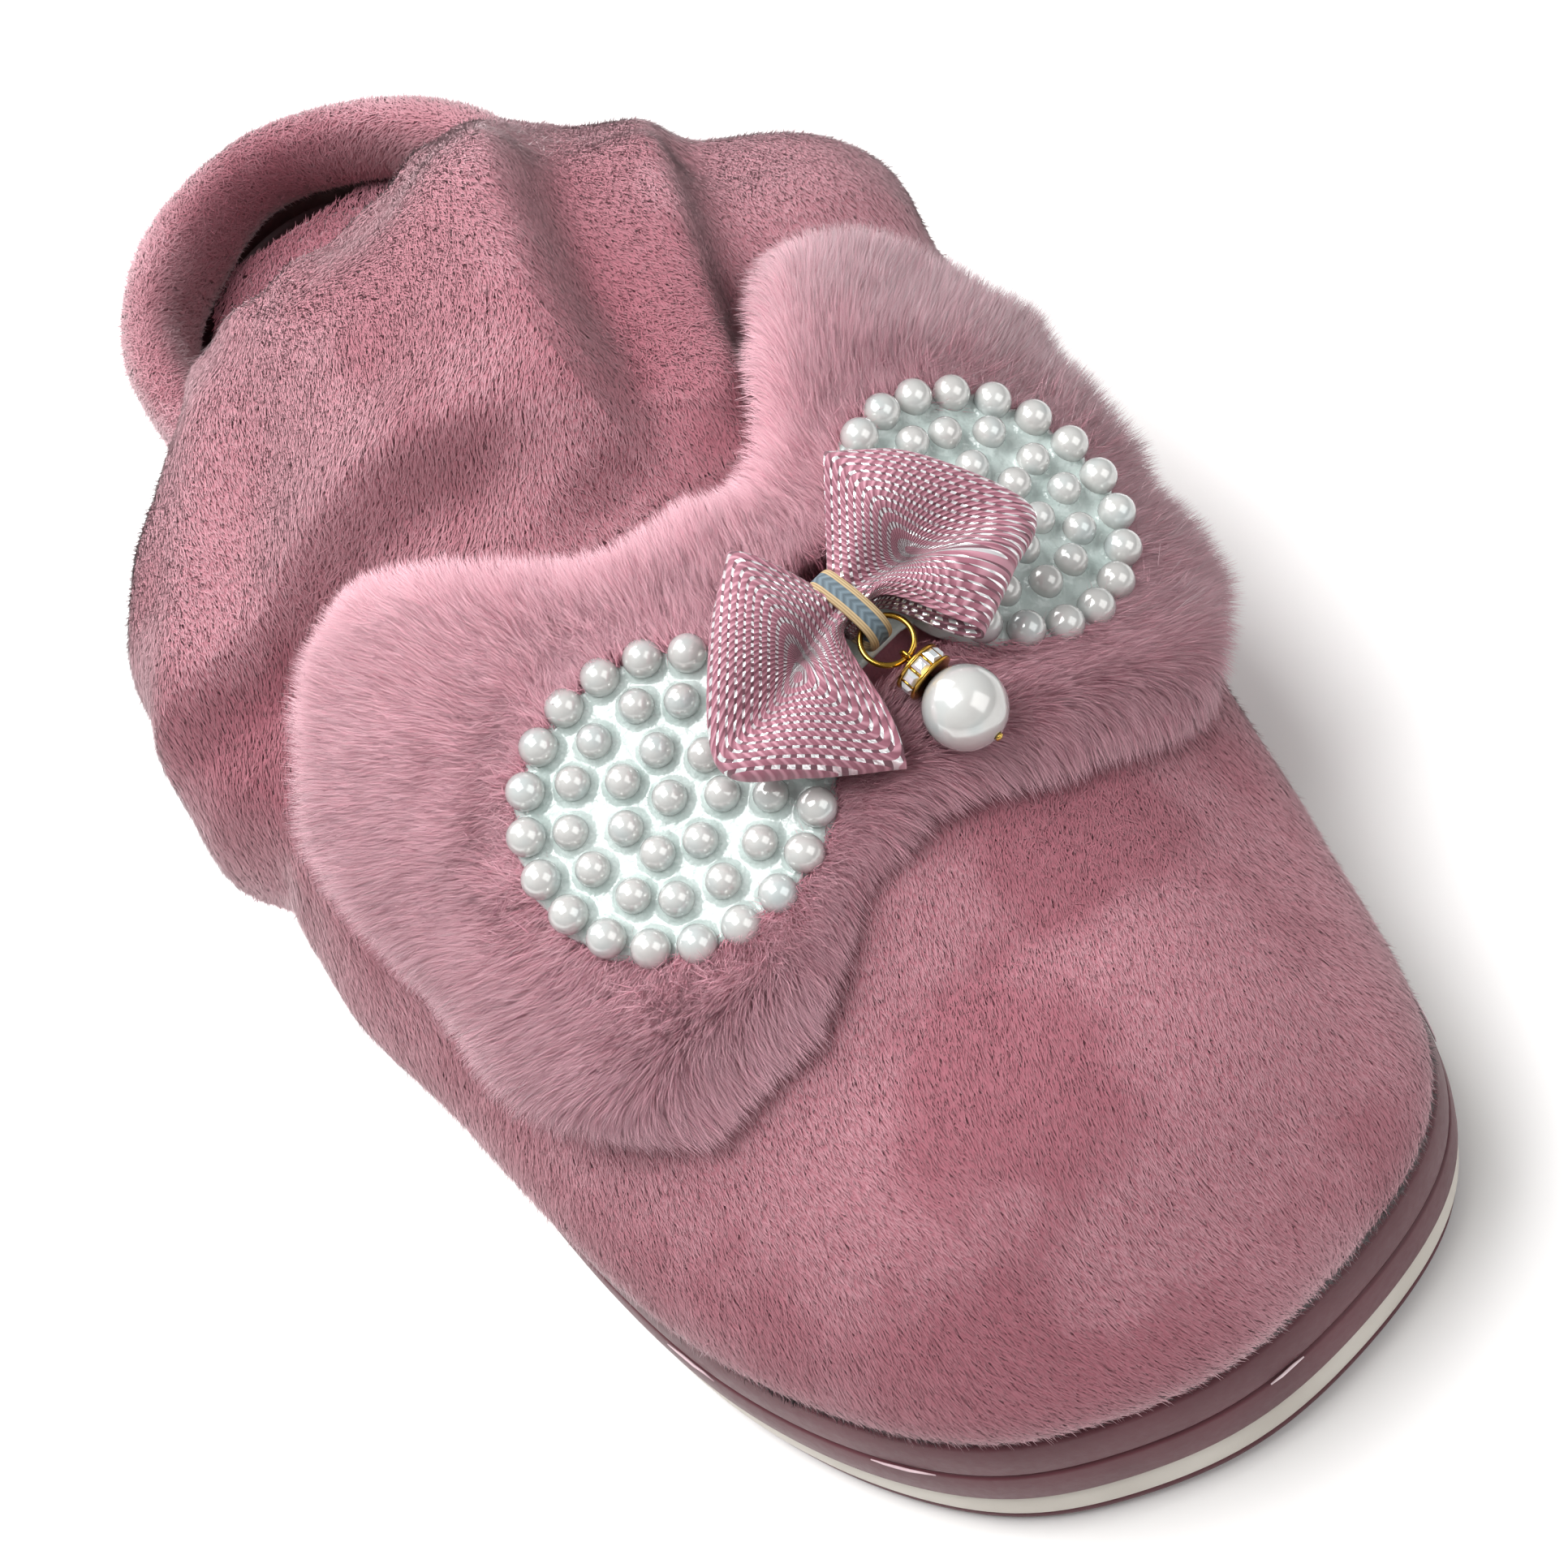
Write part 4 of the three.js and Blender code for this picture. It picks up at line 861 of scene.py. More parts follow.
def tread_ribs():
    """Zigzag grip ribs across the underside."""
    points, faces = [], []
    for y in np.arange(-116, 117, 7.5):
        right, left = edge_x(y, 1) - 9, -(edge_x(y, -1) - 9)
        knees = np.arange(left, right, 7.0)
        if len(knees) < 3:
            continue
        for k, x in enumerate(knees):
            bend = 1.7 if k % 2 else -1.7
            for dy, z in ((-1.5, 1.0), (-1.2, 0.0), (1.2, 0.0), (1.5, 1.0)):
                points.append((x, y + bend + dy, z))
        first = len(points) - 4 * len(knees)
        for k in range(len(knees) - 1):
            for c in range(4):
                a, b = first + 4 * k + c, first + 4 * k + (c + 1) % 4
                faces.append((a, b, b + 4, a + 4))
        for end in (first, len(points) - 4):
            faces.append((end, end + 1, end + 2, end + 3))
    return tidy_mesh(new_mesh("ribs", points, faces), 0.0001)


def make_sole(mauve, ivory, board, foam):
    tread = slab_mesh(
        "tread", [(2.6, 0.6), (1.2, 0.9), (1.0, 1.4), (1.0, 2.0), (1.3, TREAD_TOP)], tread_ribs()
    )
    link_piece("tread_sole", tread, "slipper", mauve, ["tread"])
    middle = slab_mesh(
        "midsole",
        [(1.4, MIDSOLE_BOTTOM), (0.8, 3.1), (0.5, 4.2), (0.35, 6.0), (0.5, 7.9), (1.1, MIDSOLE_TOP)],
    )
    link_piece("midsole_foam", middle, "slipper", ivory, ["midsole"])
    low = swept_ring("foxing", rounded(0.0, 0.2, DECK, 15.4, 2.0, 0.5))
    link_piece("foxing_band", low, "slipper", mauve, ["foxing_strip"])
    high = swept_ring("binding", rounded(0.2, 1.2, BINDING_BOTTOM, BAND_TOP, 2.0, 0.7))
    link_piece("edge_binding_band", high, "slipper", mauve, ["edge_binding"])
    for node, material in (("insole_board", board), ("footbed_foam", foam)):
        dress_node(node, material)


def dress_node(node, material):
    """A carried-over piece keeps its shape and takes a worked finish."""
    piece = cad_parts[node]
    piece.data.materials.clear()
    piece.data.materials.append(material)


def make_cement_streaks(material):
    """Thin smears of dried cement along the line between the two bands, here and there, coloured pale partly for the
    cement itself and partly as a painted glint.
    """
    rng = np.random.default_rng(41)
    ring = offset_ring(RING, 0.12)
    parts = []
    for centre in rng.integers(0, len(ring), 26):
        run = int(rng.integers(2, 6))
        spots = ring[(centre + np.arange(run + 1)) % len(ring)]
        high = 15.55 + 0.25 * rng.normal(0, 1, run + 1)
        taper = np.sin(np.pi * (np.arange(run + 1) + 0.5) / (run + 1))
        sections = []
        for k, (x, y) in enumerate(spots):
            out = unit(np.array([x, y - np.clip(y, TOE_Y, 90)]))
            size = 0.2 * taper[k] + 0.04
            turn = np.linspace(0, 2 * math.pi, 8, endpoint=False)
            reach = 0.1 + size * 0.8 * np.cos(turn)
            section = np.stack([x + out[0] * reach, y + out[1] * reach, high[k] + size * np.sin(turn)], -1)
            sections.append(section)
        grid = np.array(sections)
        faces = [tuple(f) for f in grid_faces(len(grid), 8, 0, False, True)]
        last = 8 * (len(grid) - 1)
        parts.append((grid.reshape(-1, 3), faces + [tuple(range(8)), tuple(range(last, last + 8))]))
    link_piece("cement_streaks", mesh_of("cement_streaks", parts), "slipper", material)


# ---- upper ----
def climbs(count, crest_z):
    free = np.arcsin((PUFF_BOTTOM - DECK) / (crest_z - DECK))
    share = np.linspace(0, 1, count)
    upper = free[..., None] + (math.pi / 2 - free[..., None]) * share
    low = free[..., None] * np.linspace(0, 1, 4)[:-1]
    return np.concatenate([low, upper], -1)


def vamp_grid(lift, sides=26, fan=44, rows=40, dents=True):
    """Grid of the vamp from the inner seam round the toe to the outer seam, sole to crest."""
    back_y = SEAM_Y - 0.15
    ys = np.linspace(back_y, TOE_Y, sides)
    height = along_rows(HEIGHT_ROWS, ys)
    inner = side_rib(ys[:, None], ys[:, None], 1, climbs(rows, height), lift)
    outer = side_rib(ys[::-1, None], ys[::-1, None], -1, climbs(rows, height[::-1]), lift)
    crest_x = along_rows(RIDGE_ROWS, TOE_Y)
    toe = RING[RING[:, 1] < TOE_Y]
    angle = np.unwrap(np.arctan2(toe[:, 1] - TOE_Y, toe[:, 0] - crest_x))
    order = np.argsort(angle)
    want = np.linspace(0, -math.pi, fan + 2)[1:-1]
    foot_x = np.interp(want, angle[order], toe[order, 0])
    foot_y = np.interp(want, angle[order], toe[order, 1])
    inner_puff = along_rows(INNER_PUFF_ROWS, foot_y)
    outer_puff = along_rows(OUTER_PUFF_ROWS, foot_y)
    puff = mix(outer_puff, inner_puff, smooth(-12, 12, foot_x - crest_x))
    phi = climbs(rows, np.full(fan, TOE_HEIGHT))
    toe_part = rib(
        foot_x[:, None], foot_y[:, None], crest_x, TOE_Y, TOE_HEIGHT, puff[:, None], phi, lift
    )
    grid = np.concatenate([inner, toe_part, outer])
    if dents:
        soft = 1.5 * (mottle(grid, 30, 7) - 0.5) + 0.7 * (mottle(grid, 13, 8) - 0.5)
        grid[..., 2] += soft * smooth(24, 34, grid[..., 2])
        above_band = smooth(BAND_TOP - 0.2, BAND_TOP + 1.0, grid[..., 2])
        bulge = 3.0 * above_band * (1 - smooth(25, 40, grid[..., 2]))
        away = grid[..., :2] - np.stack([0 * grid[..., 0], np.clip(grid[..., 1], TOE_Y, 200)], -1)
        grid[..., :2] += unit(away) * bulge[..., None]
    return grid


# Folds of the gathered collar, in plan: the crest's points, its height, how far it reaches
# towards the outer side, how sharply it drops to the inner side, and the dip beyond the drop.
FOLDS = [
    ([(28, 80), (19.7, 52.9), (13.7, 30.3), (10, 14.4), (7.5, 0.6), (4.5, -12), (0, -30)], 6.5, 12, 6.0, 5.0),
    ([(46, 80), (37, 46), (34.9, 34.9), (28.7, 12.4), (24.9, -1.4), (21, -14), (18, -30)], 5.5, 11, 4.6, 3.8),
    ([(-20, 80), (-33, 44), (-45, 20), (-56, -8)], 3.4, 12, 6.5, 3.0),
    ([(10, -4), (-2, 4), (-14, 10), (-28, 13), (-50, 14), (-60, 12)], 5.0, 15, 5.5, 4.2),
    ([(48, 74), (53, 50), (56, 34), (56, 18), (54, -6)], 8.0, 12, 12.0, 2.0),
]


def fold_height(points, crest, height, left_reach, right_drop, dip):
    """Height of one fold over plan points: a gentle rise, a sharp crest and a drop."""
    spots = np.array(crest, float)
    a, b = spots[:-1], spots[1:]
    p = points[..., None, :2]
    run = b - a
    t = np.clip(np.sum((p - a) * run, -1) / np.sum(run * run, -1), 0, 1)
    away = p - (a + t[..., None] * run)
    near = np.argmin(np.sum(away**2, -1), -1)
    d = np.take_along_axis(np.linalg.norm(away, axis=-1), near[..., None], -1)[..., 0]
    cross = run[..., 0] * away[..., 1] - run[..., 1] * away[..., 0]
    side = np.sign(np.take_along_axis(np.broadcast_to(cross, away.shape[:-1]), near[..., None], -1)[..., 0])
    place = (near + np.take_along_axis(t, near[..., None], -1)[..., 0]) / len(a)
    taper = smooth(0, 0.3, place) * smooth(0, 0.3, 1 - place)
    height, dip = height * (0.15 + 0.85 * taper), dip * taper
    rising = height * np.exp(-((d / left_reach) ** 1.6))
    falling = (height + dip) * np.exp(-((d / right_drop) ** 2)) - dip * np.exp(-((d / (3 * right_drop)) ** 2))
    return np.where(side < 0, rising, falling)


def collar_folds(grid):
    """How far each collar point stands off the plain surface."""
    total = sum(fold_height(grid, *fold) for fold in FOLDS)
    total += 2.4 * (mottle(grid, 24, 17) - 0.5) + 1.0 * (mottle(grid, 10, 18) - 0.5)
    return total


def collar_grid(lift, rows=52, stations=96, end=0.945):
    """Grid of the collar from the seam to the topline, inner foot over the crest to outer."""
    k = np.linspace(0, end, stations)
    crest_y = mix(SEAM_Y + 0.15, TOPLINE_Y, k)
    phi = climbs(rows, along_rows(HEIGHT_ROWS, crest_y))
    halves = []
    for side, foot_end in ((1, INNER_END), (-1, OUTER_END)):
        foot_y = mix(SEAM_Y + 0.15, foot_end, k)
        halves.append(side_rib(crest_y[:, None], foot_y[:, None], side, phi, lift))
    grid = np.concatenate([halves[0], halves[1][:, -2::-1]], 1)
    return grid


def grid_normals(grid):
    along = np.gradient(grid, axis=0)
    across = np.gradient(grid, axis=1)
    return unit(np.cross(across, along))


def outward_normals(grid):
    normals = grid_normals(grid)
    centre = grid.mean((0, 1))
    centre[2] = 10
    sign = np.sign(np.sum(normals * (grid - centre), -1).sum())
    return normals * sign


def folded_collar(lift):
    grid = collar_grid(lift)
    plain = collar_grid(0.0)
    k = np.linspace(0, 1, grid.shape[0])[:, None]
    free = smooth(26, 44, grid[..., 2]) * mix(1.0, 0.45, smooth(0.8, 1.0, k))
    free = free * smooth(0.02, 0.12, k)
    stand = collar_folds(plain) * free
    angle = np.arctan2(plain[..., 0], plain[..., 2] - 20)
    gathers = 0.4 * np.sin(angle * 26) * smooth(0.86, 0.97, k) * smooth(26, 40, plain[..., 2])
    pleats = np.sin(plain[..., 1] / 5.2 + 1.4 * np.sin(plain[..., 1] / 17))
    low = 2.0 * pleats * smooth(22, 28, plain[..., 2]) * (1 - smooth(38, 54, plain[..., 2]))
    outer = smooth(-20, -40, plain[..., 0]) * smooth(-14, 4, plain[..., 1])
    outer = outer * (1 - smooth(44, 60, plain[..., 1]))
    low = low + 4.5 * outer * smooth(24, 32, plain[..., 2]) * (1 - smooth(44, 62, plain[..., 2]))
    low = low * smooth(0.04, 0.15, k)
    above_band = smooth(BAND_TOP - 0.2, BAND_TOP + 1.0, plain[..., 2])
    low = low + 3.0 * above_band * (1 - smooth(25, 40, plain[..., 2]))
    return grid + outward_normals(plain) * (stand + gathers + low)[..., None]


def rolled_edge(grid, thickness):
    """Adds a rolled lip past the grid's last row, down to the inner face."""
    run = unit(grid[-1] - grid[-3])
    normals = outward_normals(grid)[-1]
    rows = []
    for turn in np.linspace(0, math.pi, 7)[1:]:
        r = thickness / 2
        rows.append(grid[-1] + run * r * math.sin(turn) * 1.2 - normals * r * (1 - math.cos(turn)))
    return np.concatenate([grid, np.array(rows)])


def make_upper(plush_ground, plush_fibre, lining):
    outer = vamp_grid(0.0)
    mesh = shell_mesh("vamp", outer, vamp_grid(-2.2, dents=False))
    vamp = link_piece("vamp_quilt", mesh, "slipper", plush_ground, ["vamp_plush", "vamp_foam"])
    mesh = shell_mesh("vamp_lining", vamp_grid(-5.5, dents=False), vamp_grid(-7.0, dents=False))
    inside = link_piece("vamp_inner_lining", mesh, "slipper", lining, ["vamp_lining"])
    for k in range(2):
        plush_pile(
            f"vamp_nap_{k + 1}", outer[:, 3:], 190000, "slipper", plush_fibre,
            (0.1, -1, -0.2), 11 + k, -1,
        )
    collar_outer = folded_collar(0.0)
    lipped = rolled_edge(collar_outer, 6.4)
    inner = folded_collar(-2.2)
    hem = np.repeat(inner[-1:], 6, 0)
    mesh = shell_mesh("collar", lipped, np.concatenate([inner, hem]))
    nodes = ["collar_plush", "collar_padding", "collar_elastic"]
    collar = link_piece("collar_quilt", mesh, "slipper", plush_ground, nodes)
    mesh = shell_mesh("collar_lining", folded_collar(-5.5), folded_collar(-7.0))
    inside = link_piece("collar_inner_lining", mesh, "slipper", lining, ["collar_lining"])
    # The collar nap is painted lighter on fold crests and darker in fold valleys.
    for k in range(2):
        plush_pile(
            f"collar_nap_{k + 1}", lipped, 190000, "slipper", plush_fibre,
            (-0.1, -1, -0.1), 21 + k, 1, lambda roots: 0.06 * collar_folds(roots) - 0.02,
        )


# ---- heel rim and footbed ----
def rim_path(trim, count):
    ring = RING
    start, end = INNER_END + trim, OUTER_END + trim
    length = np.arange(len(ring))
    keep = np.where(ring[:, 0] > 0, ring[:, 1] >= start, ring[:, 1] >= end)
    kept = length[keep]
    kept = np.sort(kept[ring[kept, 1] > 0])
    return np.interp(np.linspace(0, 1, count), np.linspace(0, 1, len(kept)), kept)


def ring_at(ring, index):
    low = np.floor(index).astype(int) % len(ring)
    high = (low + 1) % len(ring)
    t = (index - np.floor(index))[:, None]
    return ring[low] * (1 - t) + ring[high] * t


RIM_BOTTOM, RIM_TOP = BAND_TOP + 0.3, 36.7


def make_heel_rim(plush_ground, plush_fibre, foam):
    count, around = 90, 36
    index = rim_path(-4.0, count)
    half = 4.5
    middle = 1.3 + half
    rise = (RIM_TOP - RIM_BOTTOM) / 2
    centre_z = (RIM_TOP + RIM_BOTTOM) / 2
    columns = []
    for turn in np.linspace(0, 2 * math.pi, around, endpoint=False):
        c, s = math.cos(turn), math.sin(turn)
        inset = middle + half * np.sign(c) * abs(c) ** 0.85
        z = centre_z + rise * np.sign(s) * abs(s) ** 0.9
        place = ring_at(offset_ring(RING, inset), index)
        columns.append(np.column_stack([place, np.full(count, z)]))
    grid = np.stack(columns, 1)
    soft = 1.2 * (mottle(grid, 20, 31) - 0.5)
    centre = grid.mean(1, keepdims=True)
    share = np.linspace(0, 1, count)[:, None]
    ends = 0.55 + 0.45 * smooth(0, 0.05, share) * smooth(0, 0.05, 1 - share)
    swell = (ends + soft / half)[..., None]
    grid = centre + (grid - centre) * swell
    mesh = tube_mesh("heel_rim", grid, closed=False)
    rim = link_piece("heel_rim_roll", mesh, "slipper", plush_ground, ["heel_rim_cover"])
    core = tube_mesh("heel_core", centre + (grid - centre) * 0.7, closed=False)
    link_piece("heel_rim_core", core, "slipper", foam, ["heel_rim_foam"])
    closed = np.concatenate([grid, grid[:, :1]], 1)
    nap = plush_pile(
        "heel_rim_nap", closed, 60000, "slipper", plush_fibre,
        (0, 0.2, -0.6), 33, -1,
    )
    return nap


def make_footbed(plush_ground, plush_fibre):
    insets = np.array([11.9, 11.4, 11.3, 11.4, 12.2, 14.5, 20, 27, 34])
    heights = np.array([19.3, 19.8, 20.6, 21.2, 21.7, 22.0, 22.2, 22.1, 22.0])
    rings = [np.column_stack([offset_ring(RING, a), np.full(len(RING), z)]) for a, z in zip(insets, heights)]
    mesh = tube_mesh("footbed", np.stack(rings), closed=False)
    cover = link_piece("footbed_quilt", mesh, "slipper", plush_ground, ["footbed_cover"])
    steps = np.linspace(0, 1, 12)
    seat = []
    for y in np.linspace(20, 118, 60):
        left, right = -(edge_x(y, -1) - 12.0), edge_x(y, 1) - 12.0
        x = mix(left, right, steps)
        seat.append(np.column_stack([x, np.full(12, y), np.full(12, 22.0)]))
    grid = np.array(seat)
    plush_pile("footbed_nap", grid, 40000, "slipper", plush_fibre, (0.5, 0.5, 0), 35, -1)


# ---- fur bow ----
# Each wing of the fur: front and back edges at the waist and out on the wing, and the climb it ends at.
WING_EDGES = {-1: (-63.0, -77.0, -25.0, -3.0, 43.0), 1: (-63.0, -67.5, -27.0, 8.0, 28.0)}


def bow_edges(share, side):
    near_front, far_front, near_back, far_back, _ = WING_EDGES[side]
    front = mix(near_front, far_front, smooth(-0.12, 0.32, share))
    back = mix(near_back, far_back, smooth(0.05, 0.65, share))
    middle = (front + back) / 2
    bend = np.clip((share - 0.58) / 0.42, 0, 1)
    half = (back - front) / 2 * np.maximum(0.3, np.sqrt(1 - bend**2))
    return middle - half, middle + half


def bow_grid(lift, steps=60, across=40):
    halves = []
    for side in (-1, 1):
        share = np.linspace(0, 1, steps)[:, None] * np.ones((1, across))
        phi = np.radians(mix(90, WING_EDGES[side][4], share))
        front, back = bow_edges(share, side)
        v = np.linspace(0, 1, across)[None]
        y = mix(front, back, v)
        border = np.maximum(np.abs(2 * v - 1) ** 6, smooth(0.85, 1.0, share))
        halves.append(upper_point(y, side, phi, lift * (1 - 0.35 * border)))
    return np.concatenate([halves[0][::-1], halves[1][1:]])


def wing_distance(points):
    """How far each point lies from the nearer wing's centre, along the wing's plane."""
    far = np.full(points.shape[:-1], 1e3)
    for axes, origin in WINGS.values():
        local = (points - origin) @ axes.T
        far = np.minimum(far, np.linalg.norm(local[..., :2], axis=-1))
    return far


def wing_depth(points):
    """1 under the applique, falling to 0 near its edge."""
    depth = np.zeros(points.shape[:-1])
    for axes, origin in WINGS.values():
        local = (points - origin) @ axes.T
        radius = np.linalg.norm(local[..., :2], axis=-1)
        depth = np.maximum(depth, 1 - smooth(WING_RADIUS - 3.4, WING_RADIUS - 0.6, radius))
    local = (points - WAIST_ORIGIN) @ WAIST_AXES.T
    bridge = (np.abs(local[..., 1]) < 8) & (np.abs(local[..., 0]) < 20)
    return np.maximum(depth, bridge)


FUR_LENGTH = 9.5


def fur_pile(name, grid, count, material, seed):
    rng = np.random.default_rng(seed)
    roots, normals, along, across = strew(grid, count, rng)
    normals = normals * np.sign(normals[:, 2].mean())
    keep = wing_depth(roots) < 0.5
    roots, normals, along, across = roots[keep], normals[keep], along[keep], across[keep]
    n = len(roots)
    local = (roots - WAIST_ORIGIN) @ WAIST_AXES.T
    outward = np.zeros_like(roots)
    for side, (_, origin) in WINGS.items():
        near = (local[:, 0] * side > -2) * 1.0
        outward += unit(roots - origin) * near[:, None]
    waist = np.exp(-((local[:, 0] / 14) ** 2))[:, None]
    outward = outward + waist * 1.6 * np.sign(local[:, 1])[:, None] * WAIST_AXES[1]
    border = smooth(0.78, 1.0, np.abs(2 * across - 1))
    tip = smooth(0.86, 1.0, np.abs(2 * along - 1))
    edge = np.maximum(border, tip)
    step = np.gradient(grid, axis=1)[:, grid.shape[1] // 2]
    rear = unit(step[np.clip((along * (len(step) - 1)).astype(int), 0, len(step) - 1)])
    outward = outward + 1.8 * (border * np.sign(2 * across - 1))[:, None] * rear
    wave = np.stack([mottle(roots, 9, 51 + k) - 0.5 for k in range(3)], -1)
    small = np.stack([mottle(roots, 3.2, 81 + k) - 0.5 for k in range(3)], -1)
    lay = comb(normals, outward + 1.0 * wave + 1.3 * small, rng, 0.5)
    length = FUR_LENGTH * (0.7 + 0.4 * rng.random(n)) * (0.9 + 0.2 * mottle(roots, 6, 61))
    pressed = 1 - smooth(WING_RADIUS - 1, WING_RADIUS + 6, wing_distance(roots))
    length *= mix(1.0, 0.82, edge) * (1 - 0.3 * pressed)
    lean = mix(0.3, 0.95, np.maximum(edge, 0.9 * pressed))[:, None] * (0.6 + 0.8 * rng.random((n, 1)))
    first = unit(normals + 0.5 * lean * lay)
    second = unit(normals * mix(1.0, 0.15, edge)[:, None] + 1.25 * lean * lay)
    middles = roots + first * (length * 0.5)[:, None]
    tips = middles + second * (length * 0.5)[:, None]
    droop = normals * (edge**2)[:, None]
    middles, tips = middles - 0.9 * droop, tips - 3.4 * droop
    side = unit(np.cross(second, rng.normal(0, 1, (n, 3))))
    width = 0.14 + 0.08 * rng.random(n)
    patch = smooth(0.25, 0.75, mottle(roots, 16, 71))
    tufts = mottle(roots, 2.2, 91)
    shade = np.clip(0.05 + 0.35 * patch + 0.35 * rng.random(n) + 0.45 * (tufts - 0.3) + 0.2 * edge, 0, 1)
    facing = normals + 0.3 * lay + 0.22 * rng.normal(0, 1, (n, 3))
    mesh = strand_mesh(name, roots, middles, tips, side, width, shade, facing)
    return link_piece(name, mesh, "slipper", material)


def make_fur_bow(ground, fibre, cloth):
    base_lift = 2.0
    grid = bow_grid(base_lift + 1.4)
    mesh = shell_mesh("pelt", grid, bow_grid(base_lift))
    pelt = link_piece("fur_pelt", mesh, "slipper", ground, ["fur_bow"])
    mesh = shell_mesh("bow_cloth", bow_grid(1.5), bow_grid(0.9))
    under = link_piece("bow_backing_cloth", mesh, "slipper", cloth, ["bow_backing"])
    for k in range(6):
        fur_pile(f"fur_pile_{k + 1}", grid, 80000, fibre, 100 + k)


# ---- applique ----
PEARL = 4.8
INNER_PEARL = 4.3
PEARL_RINGS = [(17.6, 20, 0.0), (12.0, 13, 0.1), (6.4, 7, 0.3), (0.0, 1, 0.0)]


def ball(centre, radius, axes, rows=14, columns=22, squash=1.0):
    """Points and faces of a bead."""
    turn = np.linspace(0, 2 * math.pi, columns, endpoint=False)
    tilt = np.linspace(0, math.pi, rows + 1)[1:-1]
    ring = np.stack(
        [
            np.outer(np.sin(tilt), np.cos(turn)),
            np.outer(np.sin(tilt), np.sin(turn)),
            np.outer(np.cos(tilt), np.ones(columns)) * squash,
        ],
        -1,
    ).reshape(-1, 3)
    local = np.concatenate([ring, [[0, 0, squash], [0, 0, -squash]]]) * radius
    points = local @ axes + centre
    body = grid_faces(rows - 1, columns, 0, False, True)
    faces = [tuple(f) for f in body]
    top, low = len(ring), len(ring) + 1
    last = (rows - 2) * columns
    for k in range(columns):
        faces.append((top, (k + 1) % columns, k))
        faces.append((low, last + k, last + (k + 1) % columns))
    return points, faces


def mesh_of(name, parts):
    """One mesh from several (points, faces) parts."""
    points, faces, start = [], [], 0
    for part_points, part_faces in parts:
        points.extend((np.asarray(part_points) * MM).tolist())
        faces.extend(tuple(int(c) + start for c in f) for f in part_faces)
        start = len(points)
    mesh = bpy.data.meshes.new(name)
    mesh.from_pydata(points, [], faces)
    mesh.polygons.foreach_set("use_smooth", np.ones(len(faces), bool))
    work = bmesh.new()
    work.from_mesh(mesh)
    bmesh.ops.recalc_face_normals(work, faces=work.faces)
    work.to_mesh(mesh)
    work.free()
    return mesh


def pearl_spots(side):
    axes, origin = WINGS[side]
    rng = np.random.default_rng(5 + side)
    spots = []
    for radius, count, phase in PEARL_RINGS:
        for k in range(count):
            turn = 2 * math.pi * (k / count + phase)
            outer = radius > 15
            wobble = np.zeros(2) if outer else rng.normal(0, 0.22, 2)
            size = PEARL if outer else INNER_PEARL
            local = [radius * math.cos(turn) + wobble[0], radius * math.sin(turn) + wobble[1], size / 2 + 0.55]
            spots.append((np.array(local), size))
    return axes, origin, spots


def resin_base(side):
    """Lumpy disc with a scalloped edge that wells up round each pearl."""
    axes, origin, spots = pearl_spots(side)
    rows, columns = 64, 260
    turn = np.linspace(0, 2 * math.pi, columns, endpoint=False)
    scallop = WING_RADIUS + 0.55 * np.abs(np.cos(10 * turn)) ** 0.7
    share = np.linspace(0, 1, rows)[:, None]
    radius = scallop[None] * (1 - (1 - share) ** 1.4)
    x, y = radius * np.cos(turn), radius * np.sin(turn)
    height = 1.75 * np.ones_like(x)
    for spot, size in spots:
        d = np.hypot(x - spot[0], y - spot[1])
        height += 0.75 * np.exp(-(((d - size * 0.44) / 0.55) ** 2))
    height *= np.sqrt(np.clip((1 - share**14), 0, 1)) * 0.9 + 0.1
    top = np.stack([x, y, height], -1)
    low = np.stack([x[::-1], y[::-1], np.zeros_like(x)], -1)
    local = np.concatenate([top, low]) + np.array([0, 0, 0.02])
    grid = local @ axes + origin
    mesh = tube_mesh(f"resin_{side}", grid, closed=False, weld=0.001)
    return mesh


def make_applique(resin, pearl):
    parts = []
    waist = layout(0, 0, 0)
    for side in (-1, 1):
        axes, origin, spots = pearl_spots(side)
        for spot, size in spots:
            centre = spot @ axes + origin
            seen = WAIST_AXES @ (centre - waist)
            if np.hypot(seen[0], seen[1]) < 8.0:
                continue
            parts.append(ball(centre, size / 2, axes))
    base_names = {-1: "applique_resin_left", 1: "applique_resin_right"}
    for side, name in base_names.items():
        link_piece(name, resin_base(side), "slipper", resin)
    strip = []
    bridge_stations = (
        (*WINGS[-1], 13.5),
        (WAIST_AXES, WAIST_ORIGIN, -3.6),
        (WAIST_AXES, WAIST_ORIGIN, 3.6),
        (*WINGS[1], -13.5),
    )
    for axes, origin, x in bridge_stations:
        section = []
        for turn in np.linspace(0, 2 * math.pi, 20, endpoint=False):
            c, s = math.cos(turn), math.sin(turn)
            local = np.array([x, 5.4 * np.sign(c) * abs(c) ** 0.6, 0.7 + 0.7 * np.sign(s) * abs(s) ** 0.6])
            section.append(local @ axes + origin)
        strip.append(section)
    link_piece("applique_bridge", tube_mesh("bridge", strip, closed=False), "slipper", resin)
    beads = link_piece(
        "applique_pearls", mesh_of("applique_pearls", parts),
        "slipper", pearl, ["pearl_applique"],
    )
    return beads


# ---- ribbon bow ----
STRAP_BOTTOM = 1.4 + 0.6
WAIST_UP = STRAP_BOTTOM + 0.9 + 0.3 + 2.2
RING_UP = WAIST_UP + 1.2
RING_RADIUS, RING_WIRE = 3.1, 0.35
RING_BACK = 3.6 * 0.84 + 0.3 + RING_WIRE
RING_CENTRE = RING_BACK + RING_RADIUS
RING_FRONT = RING_CENTRE + RING_RADIUS
RONDELLE_START = RING_FRONT + 0.85 + 0.25 + 0.15
RONDELLE_LENGTH = 2.6
DROP_START = RONDELLE_START + RONDELLE_LENGTH + 0.15
DROP_RADIUS = 5.0

